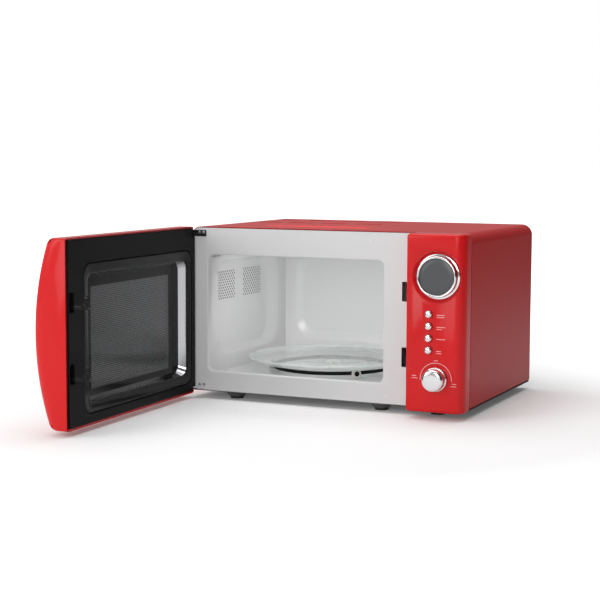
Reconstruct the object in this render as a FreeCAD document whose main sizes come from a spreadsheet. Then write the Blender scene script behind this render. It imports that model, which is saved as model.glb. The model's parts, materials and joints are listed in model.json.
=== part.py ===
import FreeCAD, Part
import math
import os
import re
import Sketcher

# Countertop microwave oven, stored with its door open.
# Every piece is drawn in the cabinet's own coordinates with the door shut:
# X runs to the right from the cabinet's left side, Y runs back from the front
# plate, Z runs up from the worktop.  Placements then carry the pieces into the
# part's frame, whose origin is under the middle of the whole open oven.

DIMENSIONS = {
    # cabinet
    "cabinet_width": 440, "cabinet_top": 258, "cabinet_bottom": 11, "cabinet_front": 2,
    "cabinet_depth": 300, "cabinet_radius": 16, "sheet_gauge": 0.8,
    "vent_length": 45, "vent_width": 11, "vent_first": 39.5, "vent_pitch": 58, "vent_row": 185,
    "vent_row_pitch": 80,
    # feet
    "foot_radius": 10, "foot_height": 3.5, "boss_radius": 18.5, "boss_neck": 11.5,
    "foot_left": 66, "foot_middle": 300, "foot_right": 386, "foot_front": 24, "foot_rear": 276,
    # front plate and cavity
    "plate_left": 3, "plate_right": 437, "plate_low": 12.6, "plate_high": 256.5, "plate_gauge": 1.2,
    "plate_radius": 12, "aperture_left": 29.6, "aperture_right": 310.5, "aperture_low": 41.2,
    "aperture_high": 216.9, "aperture_radius": 9, "slot_width": 9, "slot_height": 28,
    "upper_slot": 160, "lower_slot": 67,
    "cavity_left": 22, "cavity_right": 318, "cavity_floor": 33, "cavity_roof": 224, "cavity_back": 288,
    "cavity_radius": 14,
    # turntable
    "spindle_across": 169, "spindle_along": 147, "tray_radius": 130, "tray_low": 47.6, "tray_glass": 4.5,
    "tray_high": 56.5, "ring_inner": 88, "ring_outer": 92, "ring_height": 5, "roller_radius": 7.1,
    "roller_width": 5, "roller_track": 97, "roller_pin": 1.5, "roller_bore": 1.56, "hub_radius": 11,
    # control panel
    "panel_left": 356, "panel_front": 30, "panel_low": 10, "panel_high": 258, "panel_wall": 2.5,
    "panel_radius": 14, "panel_edge": 5, "display_across": 401, "display_up": 199.3, "ring_radius": 29,
    "lens_radius": 25, "recess_radius": 34.5, "recess_depth": 4, "recess_floor": 30.5,
    "button_across": 389.5, "button_first": 147.6, "button_pitch": 16.7, "button_radius": 5.4,
    "button_hole": 5.8, "button_travel": 1.5, "knob_across": 400.5, "knob_up": 57.5, "knob_radius": 17,
    "knob_height": 18, "knob_gap": 0.6, "shaft_radius": 3, "shaft_hole": 4,
    # door
    "hinge_across": 5, "hinge_along": -6, "door_open": 88.8, "door_left": 1.5, "door_right": 354.3,
    "door_low": 7, "door_high": 258, "door_face": 2, "door_rim": 5, "door_edge": 32, "door_bow": 365,
    "door_wall": 2.5, "door_round": 11, "frame_left": 8, "frame_right": 351, "frame_low": 11.2,
    "frame_high": 255.4, "frame_depth": 17,
    "choke_left": 12, "choke_right": 317, "choke_low": 26,
    "choke_high": 227, "choke_band": 13, "choke_gap": 0.3, "screen_depth": 14, "knuckle_radius": 4,
    "knuckle_gap": 2, "pane_inset": 44, "pane_gauge": 3, "window_inset": 52, "hook_across": 341.2,
    "hook_width": 3.6, "hook_reach": 26, "hook_height": 21, "spring_inner": 1, "spring_outer": 1.7,
    "spring_length": 9.8, "upper_hook": 164, "lower_hook": 71, "latch_travel": 3,
    "pin_radius": 2.5, "pin_bore": 2.56,
    "tab_thick": 1.5, "tab_upper": 247, "tab_lower": 17,
    # magnetron, its duct and fins
    "duct_front": 66, "duct_low": 126, "duct_reach": 26, "duct_length": 96, "duct_height": 80,
    "mica_margin": 6, "mica_gauge": 0.6, "anode_along": 122, "anode_up": 166, "anode_radius": 19,
    "anode_length": 62, "anode_reach": 27.2, "antenna_radius": 8, "antenna_hole": 11, "yoke_side": 76,
    "yoke_gauge": 2, "filter_length": 22, "filter_width": 48, "filter_height": 44, "fin_width": 62,
    "fin_height": 66, "fin_gauge": 0.8, "fin_first": 33, "fin_pitch": 8,
    # transformer, capacitor, lamp and filter board
    "core_left": 332, "core_front": 176, "core_width": 92, "core_depth": 66, "core_height": 72,
    "core_window": 16, "core_limb": 20, "core_middle": 24, "core_window_low": 19,
    "core_window_height": 36,
    "coil_gap": 0.3, "coil_overhang": 12, "capacitor_left": 334, "capacitor_front": 116,
    "capacitor_width": 84, "capacitor_depth": 34, "capacitor_height": 52, "terminal_first": 124,
    "terminal_pitch": 12, "lamp_along": 214, "lamp_up": 178, "board_left": 330, "board_front": 176,
    "board_up": 236, "board_width": 92, "board_depth": 60, "board_gauge": 1.6,
    # fan
    "fan_across": 378, "fan_up": 178, "fan_front": 261, "throat_radius": 49, "throat_gauge": 2,
    "throat_length": 12, "shroud_left": 324, "shroud_low": 126, "shroud_width": 108,
    "shroud_height": 104, "vane_reach": 34, "vane_width": 26, "vane_gauge": 1.4, "fan_shaft": 1.5,
    # turntable drive
    "motor_radius": 25, "motor_height": 15, "drive_radius": 3, "drive_gap": 0.06,
    # switches and hinges
    "spine_low": 56, "spine_height": 144, "shelf_width": 23, "shelf_depth": 44, "shelf_gauge": 4,
    "switch_length": 10, "switch_depth": 28, "switch_height": 11, "arm_width": 12, "leaf_width": 10,
    "leaf_drop": 15, "pin_length": 9,
    # inlet
    "gland_across": 398, "gland_up": 44, "gland_radius": 7, "gland_bore": 3.7, "gland_length": 14,
    # the part's origin in cabinet coordinates
    "origin_across": 197.1, "origin_along": -25.8,
}

doc = FreeCAD.newDocument("microwave_oven")
dims = doc.addObject("Spreadsheet::Sheet", "dims")
for row, (alias, number) in enumerate(DIMENSIONS.items(), start=1):
    dims.set("A%d" % row, alias.replace("_", " "))
    dims.set("B%d" % row, str(number))
    dims.setAlias("B%d" % row, alias)
doc.recompute()

PLANES = {"XY": "XY_Plane", "XZ": "XZ_Plane", "YZ": "YZ_Plane"}
TURNS = {
    "up": FreeCAD.Rotation(),
    "down": FreeCAD.Rotation(FreeCAD.Vector(1, 0, 0), 180),
    "front": FreeCAD.Rotation(FreeCAD.Vector(1, 0, 0), 90),
    "rear": FreeCAD.Rotation(FreeCAD.Vector(1, 0, 0), -90),
    "right": FreeCAD.Rotation(FreeCAD.Vector(0, 1, 0), 90),
}
SUBPARTS = []


def bound(text):
    """An expression for the sheet, with each dimension's name led to its cell."""
    def sheet_name(match):
        return "dims." + match.group() if match.group() in DIMENSIONS else match.group()
    return re.sub(r"[a-z_]+", sheet_name, str(text))


def bind(item, **sizes):
    """Bind properties of an object to expressions."""
    for name, text in sizes.items():
        item.setExpression(name, bound(text))


def bind_base(item, holder, point):
    """Bind the base of a placement to three expressions."""
    for axis, text in zip("xyz", point):
        item.setExpression("%s.Base.%s" % (holder, axis), bound(text))


def new_body(label):
    body = doc.addObject("PartDesign::Body", label)
    body.Label = label
    SUBPARTS.append(body)
    return body


def place(item, at=("0", "0", "0"), turn="up"):
    """Carry a fixed piece into the part's frame; at is in cabinet coordinates."""
    item.Placement = FreeCAD.Placement(FreeCAD.Vector(), TURNS[turn])
    shift = ("%s - origin_across" % at[0], "%s - origin_along" % at[1], at[2])
    bind_base(item, "Placement", shift)
    return item


def place_on_door(item):
    """Carry a piece drawn on the shut door to where the open door holds it."""
    item.Placement = FreeCAD.Placement(FreeCAD.Vector(), FreeCAD.Rotation(FreeCAD.Vector(0, 0, -1), 1))
    item.setExpression("Placement.Rotation.Angle", bound("door_open"))
    base = ("hinge_across - hinge_across*cos(door_open) - hinge_along*sin(door_open) - origin_across",
            "hinge_along + hinge_across*sin(door_open) - hinge_along*cos(door_open) - origin_along",
            "0")
    bind_base(item, "Placement", base)
    return item


def block(body, name, low, size, cut=False):
    """A box feature from its low corner and its three sizes."""
    kind = "Subtractive" if cut else "Additive"
    item = body.newObject("PartDesign::%sBox" % kind, name)
    bind(item, Length=size[0], Width=size[1], Height=size[2])
    bind_base(item, "Placement", low)
    doc.recompute()
    return item


def rod(body, name, start, radius, length, turn="up", cut=False):
    """A cylinder feature that runs from start along the named direction."""
    kind = "Subtractive" if cut else "Additive"
    item = body.newObject("PartDesign::%sCylinder" % kind, name)
    item.Placement = FreeCAD.Placement(FreeCAD.Vector(), TURNS[turn])
    bind(item, Radius=radius, Height=length)
    bind_base(item, "Placement", start)
    doc.recompute()
    return item


def taper(body, name, start, radius, end_radius, length, turn="up", cut=False):
    """A cone feature that runs from start along the named direction."""
    kind = "Subtractive" if cut else "Additive"
    item = body.newObject("PartDesign::%sCone" % kind, name)
    item.Placement = FreeCAD.Placement(FreeCAD.Vector(), TURNS[turn])
    bind(item, Radius1=radius, Radius2=end_radius, Height=length)
    bind_base(item, "Placement", start)
    doc.recompute()
    return item


def origin_plane(body, plane):
    return next(item for item in body.Origin.OriginFeatures if item.Role == PLANES[plane])


def outline(body, name, plane, corners, shift=("0", "0", "0")):
    """A closed sketch of straight lines whose corners are bound to the sheet."""
    sketch = body.newObject("Sketcher::SketchObject", name)
    sketch.AttachmentSupport = (origin_plane(body, plane), "")
    sketch.MapMode = "FlatFace"
    bind_base(sketch, "AttachmentOffset", shift)
    count = len(corners)
    start = [FreeCAD.Rotation(FreeCAD.Vector(0, 0, 1), -360.0 * i / count).multVec(FreeCAD.Vector(50, 0, 0))
             for i in range(count)]
    for i in range(count):
        sketch.addGeometry(Part.LineSegment(start[i], start[(i + 1) % count]), False)
    for i in range(count):
        sketch.addConstraint(Sketcher.Constraint("Coincident", i, 2, (i + 1) % count, 1))
    for i, (across, along) in enumerate(corners):
        for kind, text in (("DistanceX", across), ("DistanceY", along)):
            if text == "0":
                line = -2 if kind == "DistanceX" else -1
                sketch.addConstraint(Sketcher.Constraint("PointOnObject", i, 1, line))
                continue
            number = sketch.addConstraint(Sketcher.Constraint(kind, -1, 1, i, 1, 60.0))
            label = "%s%d" % ("across" if kind == "DistanceX" else "along", i)
            sketch.renameConstraint(number, label)
            sketch.setExpression("Constraints.%s" % label, bound(text))
    doc.recompute()
    return sketch


def pad(body, sketch, length, reverse=False):
    item = body.newObject("PartDesign::Pad", "pad_" + sketch.Name)
    item.Profile = sketch
    item.Reversed = reverse
    bind(item, Length=length)
    doc.recompute()
    return item


def pocket(body, sketch, length):
    """Cut along the sketch's normal, into the body."""
    item = body.newObject("PartDesign::Pocket", "pocket_" + sketch.Name)
    item.Profile = sketch
    item.Reversed = True
    bind(item, Length=length)
    doc.recompute()
    return item


def turned(body, name, corners):
    """A full turn about the body's own Z of an outline given as (radius, height)."""
    sketch = outline(body, name, "XZ", corners)
    item = body.newObject("PartDesign::Revolution", "turn_" + name)
    item.Profile = sketch
    item.ReferenceAxis = (sketch, ["V_Axis"])
    item.Angle = 360
    doc.recompute()
    return item


def edges_along(shape, direction, keep):
    """Names of the straight edges along a direction whose middle passes keep."""
    names = []
    for number, edge in enumerate(shape.Edges, start=1):
        run = edge.Vertexes[-1].Point - edge.Vertexes[0].Point
        if run.Length < 1e-6 or (run / run.Length).cross(direction).Length > 1e-4:
            continue
        if keep(edge.CenterOfMass):
            names.append("Edge%d" % number)
    return names


def round_edges(body, name, radius, direction=(0, 1, 0), keep=lambda middle: True, names=None):
    """Fillet chosen edges of the body's last feature."""
    tip = body.Tip
    if names is None:
        names = edges_along(tip.Shape, FreeCAD.Vector(*direction), keep)
    item = body.newObject("PartDesign::Fillet", name)
    item.Base = (tip, names)
    bind(item, Radius=radius)
    doc.recompute()
    return item


def group(label, solids):
    """Identical separate solids that share one node."""
    item = doc.addObject("Part::Compound", label)
    item.Label = label
    item.Links = solids
    SUBPARTS.append(item)
    return item


def drum(name, at, radius, length, turn="up"):
    """A plain Part cylinder, drawn in cabinet coordinates."""
    item = doc.addObject("Part::Cylinder", name)
    item.Placement = FreeCAD.Placement(FreeCAD.Vector(), TURNS[turn])
    bind(item, Radius=radius, Height=length)
    bind_base(item, "Placement", at)
    return item


def size(alias):
    return float(dims.get(alias))


# ---------------------------------------------------------------- cabinet

def cabinet_wrapper():
    """Folded steel cover: two sides and the top in one sheet, with vents in the top."""
    body = new_body("cabinet_wrapper")
    corners = [("0", "cabinet_bottom"), ("0", "cabinet_top"), ("cabinet_width", "cabinet_top"),
               ("cabinet_width", "cabinet_bottom"), ("cabinet_width - sheet_gauge", "cabinet_bottom"),
               ("cabinet_width - sheet_gauge", "cabinet_top - sheet_gauge"),
               ("sheet_gauge", "cabinet_top - sheet_gauge"), ("sheet_gauge", "cabinet_bottom")]
    sheet = outline(body, "wrapper_section", "XZ", corners)
    pad(body, sheet, "cabinet_depth", reverse=True)
    top = size("cabinet_top")
    round_edges(body, "outer_folds", "cabinet_radius", keep=lambda m: m.z > top - 0.1)
    width = size("cabinet_width")
    round_edges(body, "inner_folds", "cabinet_radius - sheet_gauge",
                keep=lambda m: top - 2 < m.z < top - 0.1 and (m.x < 2 or m.x > width - 2))
    for row in range(2):
        along = "vent_row - cabinet_front + %d*vent_row_pitch" % row
        for column in range(4):
            across = "vent_first + %d*vent_pitch" % column
            tag = "_%d_%d" % (row, column)
            corner = (across + " - vent_length/2 + vent_width/2", along + " - vent_width/2",
                      "cabinet_top - 3")
            block(body, "vent" + tag, corner, ("vent_length - vent_width", "vent_width", "6"), cut=True)
            for side, sign in (("left", "-"), ("right", "+")):
                centre = across + " %s (vent_length - vent_width)/2" % sign
                rod(body, "vent_%s%s" % (side, tag), (centre, along, "cabinet_top - 3"),
                    "vent_width/2", "6", cut=True)
    place(body, at=("0", "cabinet_front", "0"))


def feet_places():
    """Where the five feet stand."""
    return [("foot_left", "foot_front"), ("foot_middle", "foot_front"), ("foot_right", "foot_front"),
            ("foot_left", "foot_rear"), ("foot_right", "foot_rear")]


def base_plate():
    """Steel floor of the cabinet, with a hollow stamped boss over each foot."""
    body = new_body("base_plate")
    block(body, "floor_sheet", ("sheet_gauge", "cabinet_front", "cabinet_bottom"),
          ("cabinet_width - 2*sheet_gauge", "cabinet_depth - 1", "1.2"))
    for number, (across, along) in enumerate(feet_places()):
        tag = "_%d" % number
        drop = "cabinet_bottom - foot_height"
        taper(body, "boss" + tag, (across, along, "foot_height"), "boss_neck", "boss_radius", drop)
        taper(body, "boss_hollow" + tag, (across, along, "foot_height + 1.2"), "boss_neck - 1.2",
              "boss_radius - 1.2", drop, cut=True)
    place(body)


def rubber_feet():
    pads = [drum("foot_%d" % number, (across, along, "0"), "foot_radius", "foot_height")
            for number, (across, along) in enumerate(feet_places())]
    place(group("rubber_feet", pads))


def back_plate():
    """Rear sheet with exhaust slots behind the fan and the hole for the cord gland."""
    body = new_body("back_plate")
    rear = "cabinet_front + cabinet_depth - 1.2"
    block(body, "rear_sheet", ("1", rear, "cabinet_bottom + 1.3"),
          ("cabinet_width - 2", "sheet_gauge", "cabinet_top - cabinet_bottom - 2.4"))
    top = size("cabinet_top")
    round_edges(body, "rear_corners", "cabinet_radius - sheet_gauge", keep=lambda m: m.z > top - 20)
    for row in range(8):
        block(body, "exhaust_%d" % row, ("fan_across - 28", rear + " - 1", "fan_up - 38 + %d*9" % row),
              ("56", "3", "4"), cut=True)
    rod(body, "gland_hole", ("gland_across", rear + " - 1", "gland_up"), "gland_radius + 0.2", "3",
        turn="rear", cut=True)
    place(body)


def cord_gland():
    """Plastic bush in the rear sheet; its bore takes the mains lead."""
    body = new_body("cord_gland")
    turned(body, "gland_section", [
        ("gland_bore", "0"), ("gland_radius", "0"), ("gland_radius", "gland_length - 3"),
        ("gland_radius + 3", "gland_length - 3"), ("gland_radius + 3", "gland_length"),
        ("gland_bore", "gland_length")])
    place(body, at=("gland_across", "cabinet_front + cabinet_depth + 2.6 - gland_length", "gland_up"),
          turn="rear")


# ---------------------------------------------------------------- cavity

def cavity_front_plate():
    """Painted front sheet with the aperture, two latch slots and the control window."""
    body = new_body("cavity_front_plate")
    block(body, "front_sheet", ("plate_left", "0", "plate_low"),
          ("plate_right - plate_left", "plate_gauge", "plate_high - plate_low"))
    round_edges(body, "sheet_corners", "plate_radius")
    block(body, "aperture", ("aperture_left", "-2", "aperture_low"),
          ("aperture_right - aperture_left", "6", "aperture_high - aperture_low"), cut=True)
    low, high = size("aperture_low"), size("aperture_high")
    left, right = size("aperture_left"), size("aperture_right")

    def at_aperture(middle):
        return (min(abs(middle.x - left), abs(middle.x - right)) < 0.1
                and min(abs(middle.z - low), abs(middle.z - high)) < 0.1)
    round_edges(body, "aperture_corners", "aperture_radius", keep=at_aperture)
    for name in ("upper_slot", "lower_slot"):
        block(body, name + "_hole", ("hook_across + hook_width/2 - slot_width/2", "-2", name),
              ("slot_width", "6", "slot_height"), cut=True)
    block(body, "control_window", ("panel_left + 8", "-2", "panel_low + 20"),
          ("plate_right - panel_left - 16", "6", "panel_high - panel_low - 40"), cut=True)
    place(body)


def cavity_shell():
    """Left wall, roof and right wall of the cooking space, bent from one sheet."""
    body = new_body("cavity_shell")
    low = "cavity_floor - sheet_gauge"
    outer_left, outer_right = "cavity_left - sheet_gauge", "cavity_right + sheet_gauge"
    outer_top = "cavity_roof + sheet_gauge"
    sheet = outline(body, "shell_section", "XZ", [
        (outer_left, low), (outer_left, outer_top), (outer_right, outer_top), (outer_right, low),
        ("cavity_right", low), ("cavity_right", "cavity_roof"), ("cavity_left", "cavity_roof"),
        ("cavity_left", low)])
    pad(body, sheet, "cavity_back - plate_gauge", reverse=True)
    roof = size("cavity_roof")
    round_edges(body, "outer_bends", "cavity_radius + sheet_gauge", keep=lambda m: m.z > roof + 0.1)
    round_edges(body, "inner_bends", "cavity_radius", keep=lambda m: abs(m.z - roof) < 0.1)
    place(body, at=("0", "plate_gauge", "0"))


def cavity_rear():
    """Back wall, with the shallow panel pressed backwards into it."""
    body = new_body("cavity_rear")
    block(body, "rear_wall", ("cavity_left - sheet_gauge", "cavity_back", "cavity_floor - sheet_gauge"),
          ("cavity_right - cavity_left + 2*sheet_gauge", "3", "cavity_roof - cavity_floor + 2*sheet_gauge"))
    round_edges(body, "rear_corners", "cavity_radius")
    block(body, "pressing", ("cavity_left + 32", "cavity_back - 1", "cavity_floor + 34"),
          ("cavity_right - cavity_left - 64", "3", "cavity_roof - cavity_floor - 62"), cut=True)
    front = size("cavity_back")
    left = size("cavity_left")
    round_edges(body, "pressing_corners", "cavity_radius",
                keep=lambda m: front < m.y < front + 2.5 and m.x > left + 20 and m.x < left + 290)
    place(body)


def cavity_floor():
    """Floor sheet with the hole for the turntable's spindle."""
    body = new_body("cavity_floor")
    block(body, "floor_sheet", ("cavity_left", "plate_gauge", "cavity_floor - sheet_gauge"),
          ("cavity_right - cavity_left", "cavity_back - plate_gauge", "sheet_gauge"))
    rod(body, "spindle_hole", ("spindle_across", "spindle_along", "cavity_floor - 3"), "hub_radius - 3", "6",
        cut=True)
    place(body)


def waveguide():
    """Duct on the outside of the right wall, between the magnetron and the cavity."""
    body = new_body("waveguide")
    block(body, "duct", ("cavity_right + sheet_gauge", "duct_front", "duct_low"),
          ("duct_reach", "duct_length", "duct_height"))
    block(body, "duct_hollow",
          ("cavity_right + sheet_gauge - 1", "duct_front + plate_gauge", "duct_low + plate_gauge"),
          ("duct_reach - plate_gauge + 1", "duct_length - 2*plate_gauge", "duct_height - 2*plate_gauge"),
          cut=True)
    rod(body, "antenna_hole", ("cavity_right + duct_reach - 6", "anode_along", "anode_up"),
        "antenna_hole", "10", turn="right", cut=True)
    place(body)


def waveguide_cover():
    """Mica sheet that closes the duct's mouth inside the cavity."""
    body = new_body("waveguide_cover")
    block(body, "mica", ("cavity_right - mica_gauge", "duct_front + mica_margin", "duct_low + mica_margin"),
          ("mica_gauge", "duct_length - 2*mica_margin", "duct_height - 2*mica_margin"))
    round_edges(body, "mica_corners", "6", direction=(1, 0, 0))
    place(body)


def magnetron():
    """Anode block, its steel yoke and the antenna that enters the duct."""
    body = new_body("magnetron")
    start, along, low = "cavity_right + anode_reach", "anode_along - yoke_side/2", "anode_up - yoke_side/2"
    side = ("yoke_gauge", "yoke_side", "yoke_side")
    rod(body, "anode", (start, "anode_along", "anode_up"), "anode_radius", "anode_length", turn="right")
    rod(body, "antenna", (start + " - 17.2", "anode_along", "anode_up"), "antenna_radius", "18",
        turn="right")
    block(body, "yoke_front", (start, along, low), side)
    block(body, "yoke_rear", (start + " + anode_length - yoke_gauge", along, low), side)
    block(body, "yoke_top", (start, along, low + " + yoke_side - yoke_gauge"),
          ("anode_length", "yoke_side", "yoke_gauge"))
    block(body, "filter_can",
          (start + " + anode_length", "anode_along - filter_width/2", "anode_up - filter_height/2"),
          ("filter_length", "filter_width", "filter_height"))
    place(body)


def magnetron_fins():
    """Cooling fins pressed onto the anode: separate aluminium sheets."""
    fins = []
    for number in range(7):
        name = "fin_%d" % number
        across = "cavity_right + fin_first + %d*fin_pitch" % number
        sheet = doc.addObject("Part::Box", name + "_sheet")
        bind(sheet, Length="fin_gauge", Width="fin_width", Height="fin_height")
        bind_base(sheet, "Placement", (across, "anode_along - fin_width/2", "anode_up - fin_height/2"))
        hole = drum(name + "_hole", (across + " - 1", "anode_along", "anode_up"), "anode_radius", "3",
                    turn="right")
        fin = doc.addObject("Part::Cut", name)
        fin.Base = sheet
        fin.Tool = hole
        fins.append(fin)
    place(group("magnetron_fins", fins))


def transformer():
    """Laminated core and its two windings."""
    core = new_body("transformer_core")
    block(core, "stack", ("core_left", "core_front", "cabinet_bottom + plate_gauge"),
          ("core_width", "core_depth", "core_height"))
    for name, low in (("left", "core_left + core_limb"),
                      ("right", "core_left + core_limb + core_window + core_middle")):
        block(core, "window_" + name, (low, "core_front - 6", "cabinet_bottom + core_window_low"),
              ("core_window", "core_depth + 14", "core_window_height"), cut=True)
    place(core)
    windings = new_body("transformer_windings")
    block(windings, "coil",
          ("core_left + core_limb + coil_gap", "core_front - coil_overhang",
           "cabinet_bottom + core_window_low + coil_gap"),
          ("2*core_window + core_middle - 2*coil_gap", "core_depth + 2*coil_overhang",
           "core_window_height - 2*coil_gap"))
    block(windings, "coil_core",
          ("core_left + core_limb + core_window", "core_front - 0.1", "cabinet_bottom + 10"),
          ("core_middle", "core_depth + 0.2", "60"), cut=True)
    round_edges(windings, "coil_corners", "7", direction=(0, 0, 1),
                keep=lambda m: m.x < 353 or m.x > 407)
    place(windings)


def capacitor():
    """Oval high-voltage capacitor with two terminals, lying on the base."""
    body = new_body("capacitor")
    block(body, "can", ("capacitor_left", "capacitor_front", "cabinet_bottom + plate_gauge"),
          ("capacitor_width", "capacitor_depth", "capacitor_height"))
    round_edges(body, "can_ends", "16", direction=(1, 0, 0))
    for number in range(2):
        block(body, "terminal_%d" % number,
              ("capacitor_left + capacitor_width - 0.5", "terminal_first + %d*terminal_pitch" % number,
               "cabinet_bottom + capacitor_height/2"), ("8", "6", "1"))
    place(body)


def fan():
    """Cooling fan: shroud, shaded-pole motor and the blade that turns."""
    shroud = new_body("fan_shroud")
    block(shroud, "wall", ("shroud_left", "fan_front + 1", "shroud_low"),
          ("shroud_width", "board_gauge", "shroud_height"))
    rod(shroud, "throat", ("fan_across", "fan_front - 11", "fan_up"), "throat_radius", "throat_length",
        turn="rear")
    rod(shroud, "throat_bore", ("fan_across", "fan_front - 21", "fan_up"),
        "throat_radius - throat_gauge", "40", turn="rear", cut=True)
    place(shroud)
    motor = new_body("fan_motor")
    block(motor, "laminations", ("fan_across - 26", "fan_front + 18", "fan_up - 28"), ("52", "16", "56"))
    rod(motor, "bearing_boss", ("fan_across", "fan_front + 11", "fan_up"), "7", "8", turn="rear")
    block(motor, "bracket", ("fan_across - 56", "fan_front + 34", "fan_up - 4"), ("112", "2", "8"))
    rod(motor, "shaft_bore", ("fan_across", "fan_front + 7", "fan_up"), "fan_shaft + drive_gap", "14",
        turn="rear", cut=True)
    place(motor)
    blade = new_body("fan_blade")
    rod(blade, "hub", ("0", "0", "0"), "9", "10")
    for number in range(5):
        vane = blade.newObject("PartDesign::AdditiveBox", "vane_%d" % number)
        bind(vane, Length="vane_reach", Width="vane_width", Height="vane_gauge")
        spin = FreeCAD.Rotation(FreeCAD.Vector(0, 0, 1), 72 * number)
        pitch = FreeCAD.Rotation(FreeCAD.Vector(1, 0, 0), 22)
        vane.Placement = FreeCAD.Placement(spin.multVec(FreeCAD.Vector(7, -12, 0.5)), spin.multiply(pitch))
        doc.recompute()
    rod(blade, "shaft", ("0", "0", "-16"), "fan_shaft", "18")
    place(blade, at=("fan_across", "fan_front", "fan_up"), turn="front")


def lamp_and_filter():
    """Oven lamp beside the cavity and the mains filter board above it."""
    lamp = new_body("oven_lamp")
    turned(lamp, "lamp_section", [
        ("0", "0"), ("11", "0"), ("11", "14"), ("7", "18"), ("9", "27"), ("6", "38"), ("0", "40")])
    place(lamp, at=("cavity_right + 22", "lamp_along", "lamp_up"))
    board = new_body("filter_board")
    block(board, "laminate", ("board_left", "board_front", "board_up"),
          ("board_width", "board_depth", "board_gauge"))
    block(board, "choke", ("board_left + 10", "board_front + 10", "board_up - 14"), ("28", "24", "14"))
    rod(board, "fuse", ("board_left + 50", "board_front + 24", "board_up - 6"), "3.4", "28", turn="right")
    block(board, "fuse_clip", ("board_left + 56", "board_front + 21", "board_up - 7"), ("16", "6", "7"))
    place(board)


# ---------------------------------------------------------------- turntable

def turntable():
    """Gear motor under the floor, the coupler it turns, the glass tray and the ring."""
    motor = new_body("turntable_motor")
    rod(motor, "case", ("0", "0", "0"), "motor_radius", "motor_height")
    rod(motor, "neck", ("0", "0", "motor_height"), "2*drive_radius", "2.5")
    rod(motor, "shaft_bore", ("0", "0", "motor_height - 7"), "drive_radius + drive_gap", "12", cut=True)
    place(motor, at=("spindle_across", "spindle_along", "cabinet_bottom + 1.2"))

    coupler = new_body("drive_coupler")
    rod(coupler, "shaft", ("0", "0", "0"), "drive_radius", "12")
    rod(coupler, "stem", ("0", "0", "11"), "hub_radius - 4", "10")
    rod(coupler, "head", ("0", "0", "16"), "hub_radius - 2", "5.4")
    for number in range(3):
        lobe = coupler.newObject("PartDesign::AdditiveBox", "lobe_%d" % number)
        bind(lobe, Length="hub_radius + 2", Width="5", Height="5.4")
        spin = FreeCAD.Rotation(FreeCAD.Vector(0, 0, 1), 120 * number)
        lobe.Placement = FreeCAD.Placement(spin.multVec(FreeCAD.Vector(0, -2.5, 16)), spin)
        doc.recompute()
    place(coupler, at=("spindle_across", "spindle_along", "cavity_floor - 12.2 + 5"))

    tray = new_body("glass_tray")
    turned(tray, "tray_section", [
        ("0", "0"), ("tray_radius - 14", "0"), ("tray_radius", "tray_high - tray_low - 3"),
        ("tray_radius", "tray_high - tray_low"), ("tray_radius - 4", "tray_high - tray_low"),
        ("tray_radius - 16", "tray_glass"), ("0", "tray_glass")])
    for number in range(3):
        lug = tray.newObject("PartDesign::AdditiveCylinder", "lug_%d" % number)
        bind(lug, Radius="3", Height="5")
        spin = FreeCAD.Rotation(FreeCAD.Vector(0, 0, 1), 60 + 120 * number)
        lug.Placement = FreeCAD.Placement(spin.multVec(FreeCAD.Vector(15, 0, -4)), spin)
        doc.recompute()
    place(tray, at=("spindle_across", "spindle_along", "tray_low"))

    ring = new_body("roller_ring")
    centre_height = "cavity_floor + roller_radius"
    turned(ring, "ring_section", [("ring_inner", "0"), ("ring_outer", "0"), ("ring_outer", "ring_height"),
                                  ("ring_inner", "ring_height")])
    for number in range(3):
        pin = ring.newObject("PartDesign::AdditiveCylinder", "pin_%d" % number)
        bind(pin, Radius="roller_pin", Height="roller_track + roller_width/2 + 1.5 - ring_inner - 1")
        spin = FreeCAD.Rotation(FreeCAD.Vector(0, 0, 1), roller_angle(number))
        start = spin.multVec(FreeCAD.Vector(size("ring_inner") + 1, 0, size("ring_height") / 2))
        pin.Placement = FreeCAD.Placement(start, spin.multiply(TURNS["right"]))
        doc.recompute()
    place(ring, at=("spindle_across", "spindle_along", centre_height + " - ring_height/2"))

    for number in range(3):
        roller = new_body("roller_%d" % (number + 1))
        turned(roller, "roller_section_%d" % number, [
            ("roller_bore", "0"), ("roller_radius - 0.8", "0"), ("roller_radius", "1"),
            ("roller_radius", "roller_width - 1"), ("roller_radius - 0.8", "roller_width"),
            ("roller_bore", "roller_width")])
        spin = FreeCAD.Rotation(FreeCAD.Vector(0, 0, 1), roller_angle(number))
        roller.Placement = FreeCAD.Placement(FreeCAD.Vector(), spin.multiply(TURNS["right"]))
        reach = "(roller_track - roller_width/2)"
        bind_base(roller, "Placement", (
            "spindle_across - origin_across + %s*cos(%d)" % (reach, roller_angle(number)),
            "spindle_along - origin_along + %s*sin(%d)" % (reach, roller_angle(number)),
            centre_height))


def roller_angle(number):
    """Direction of a roller's axis, in degrees from +X."""
    return 120 * number - 45


# ---------------------------------------------------------------- controls

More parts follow.
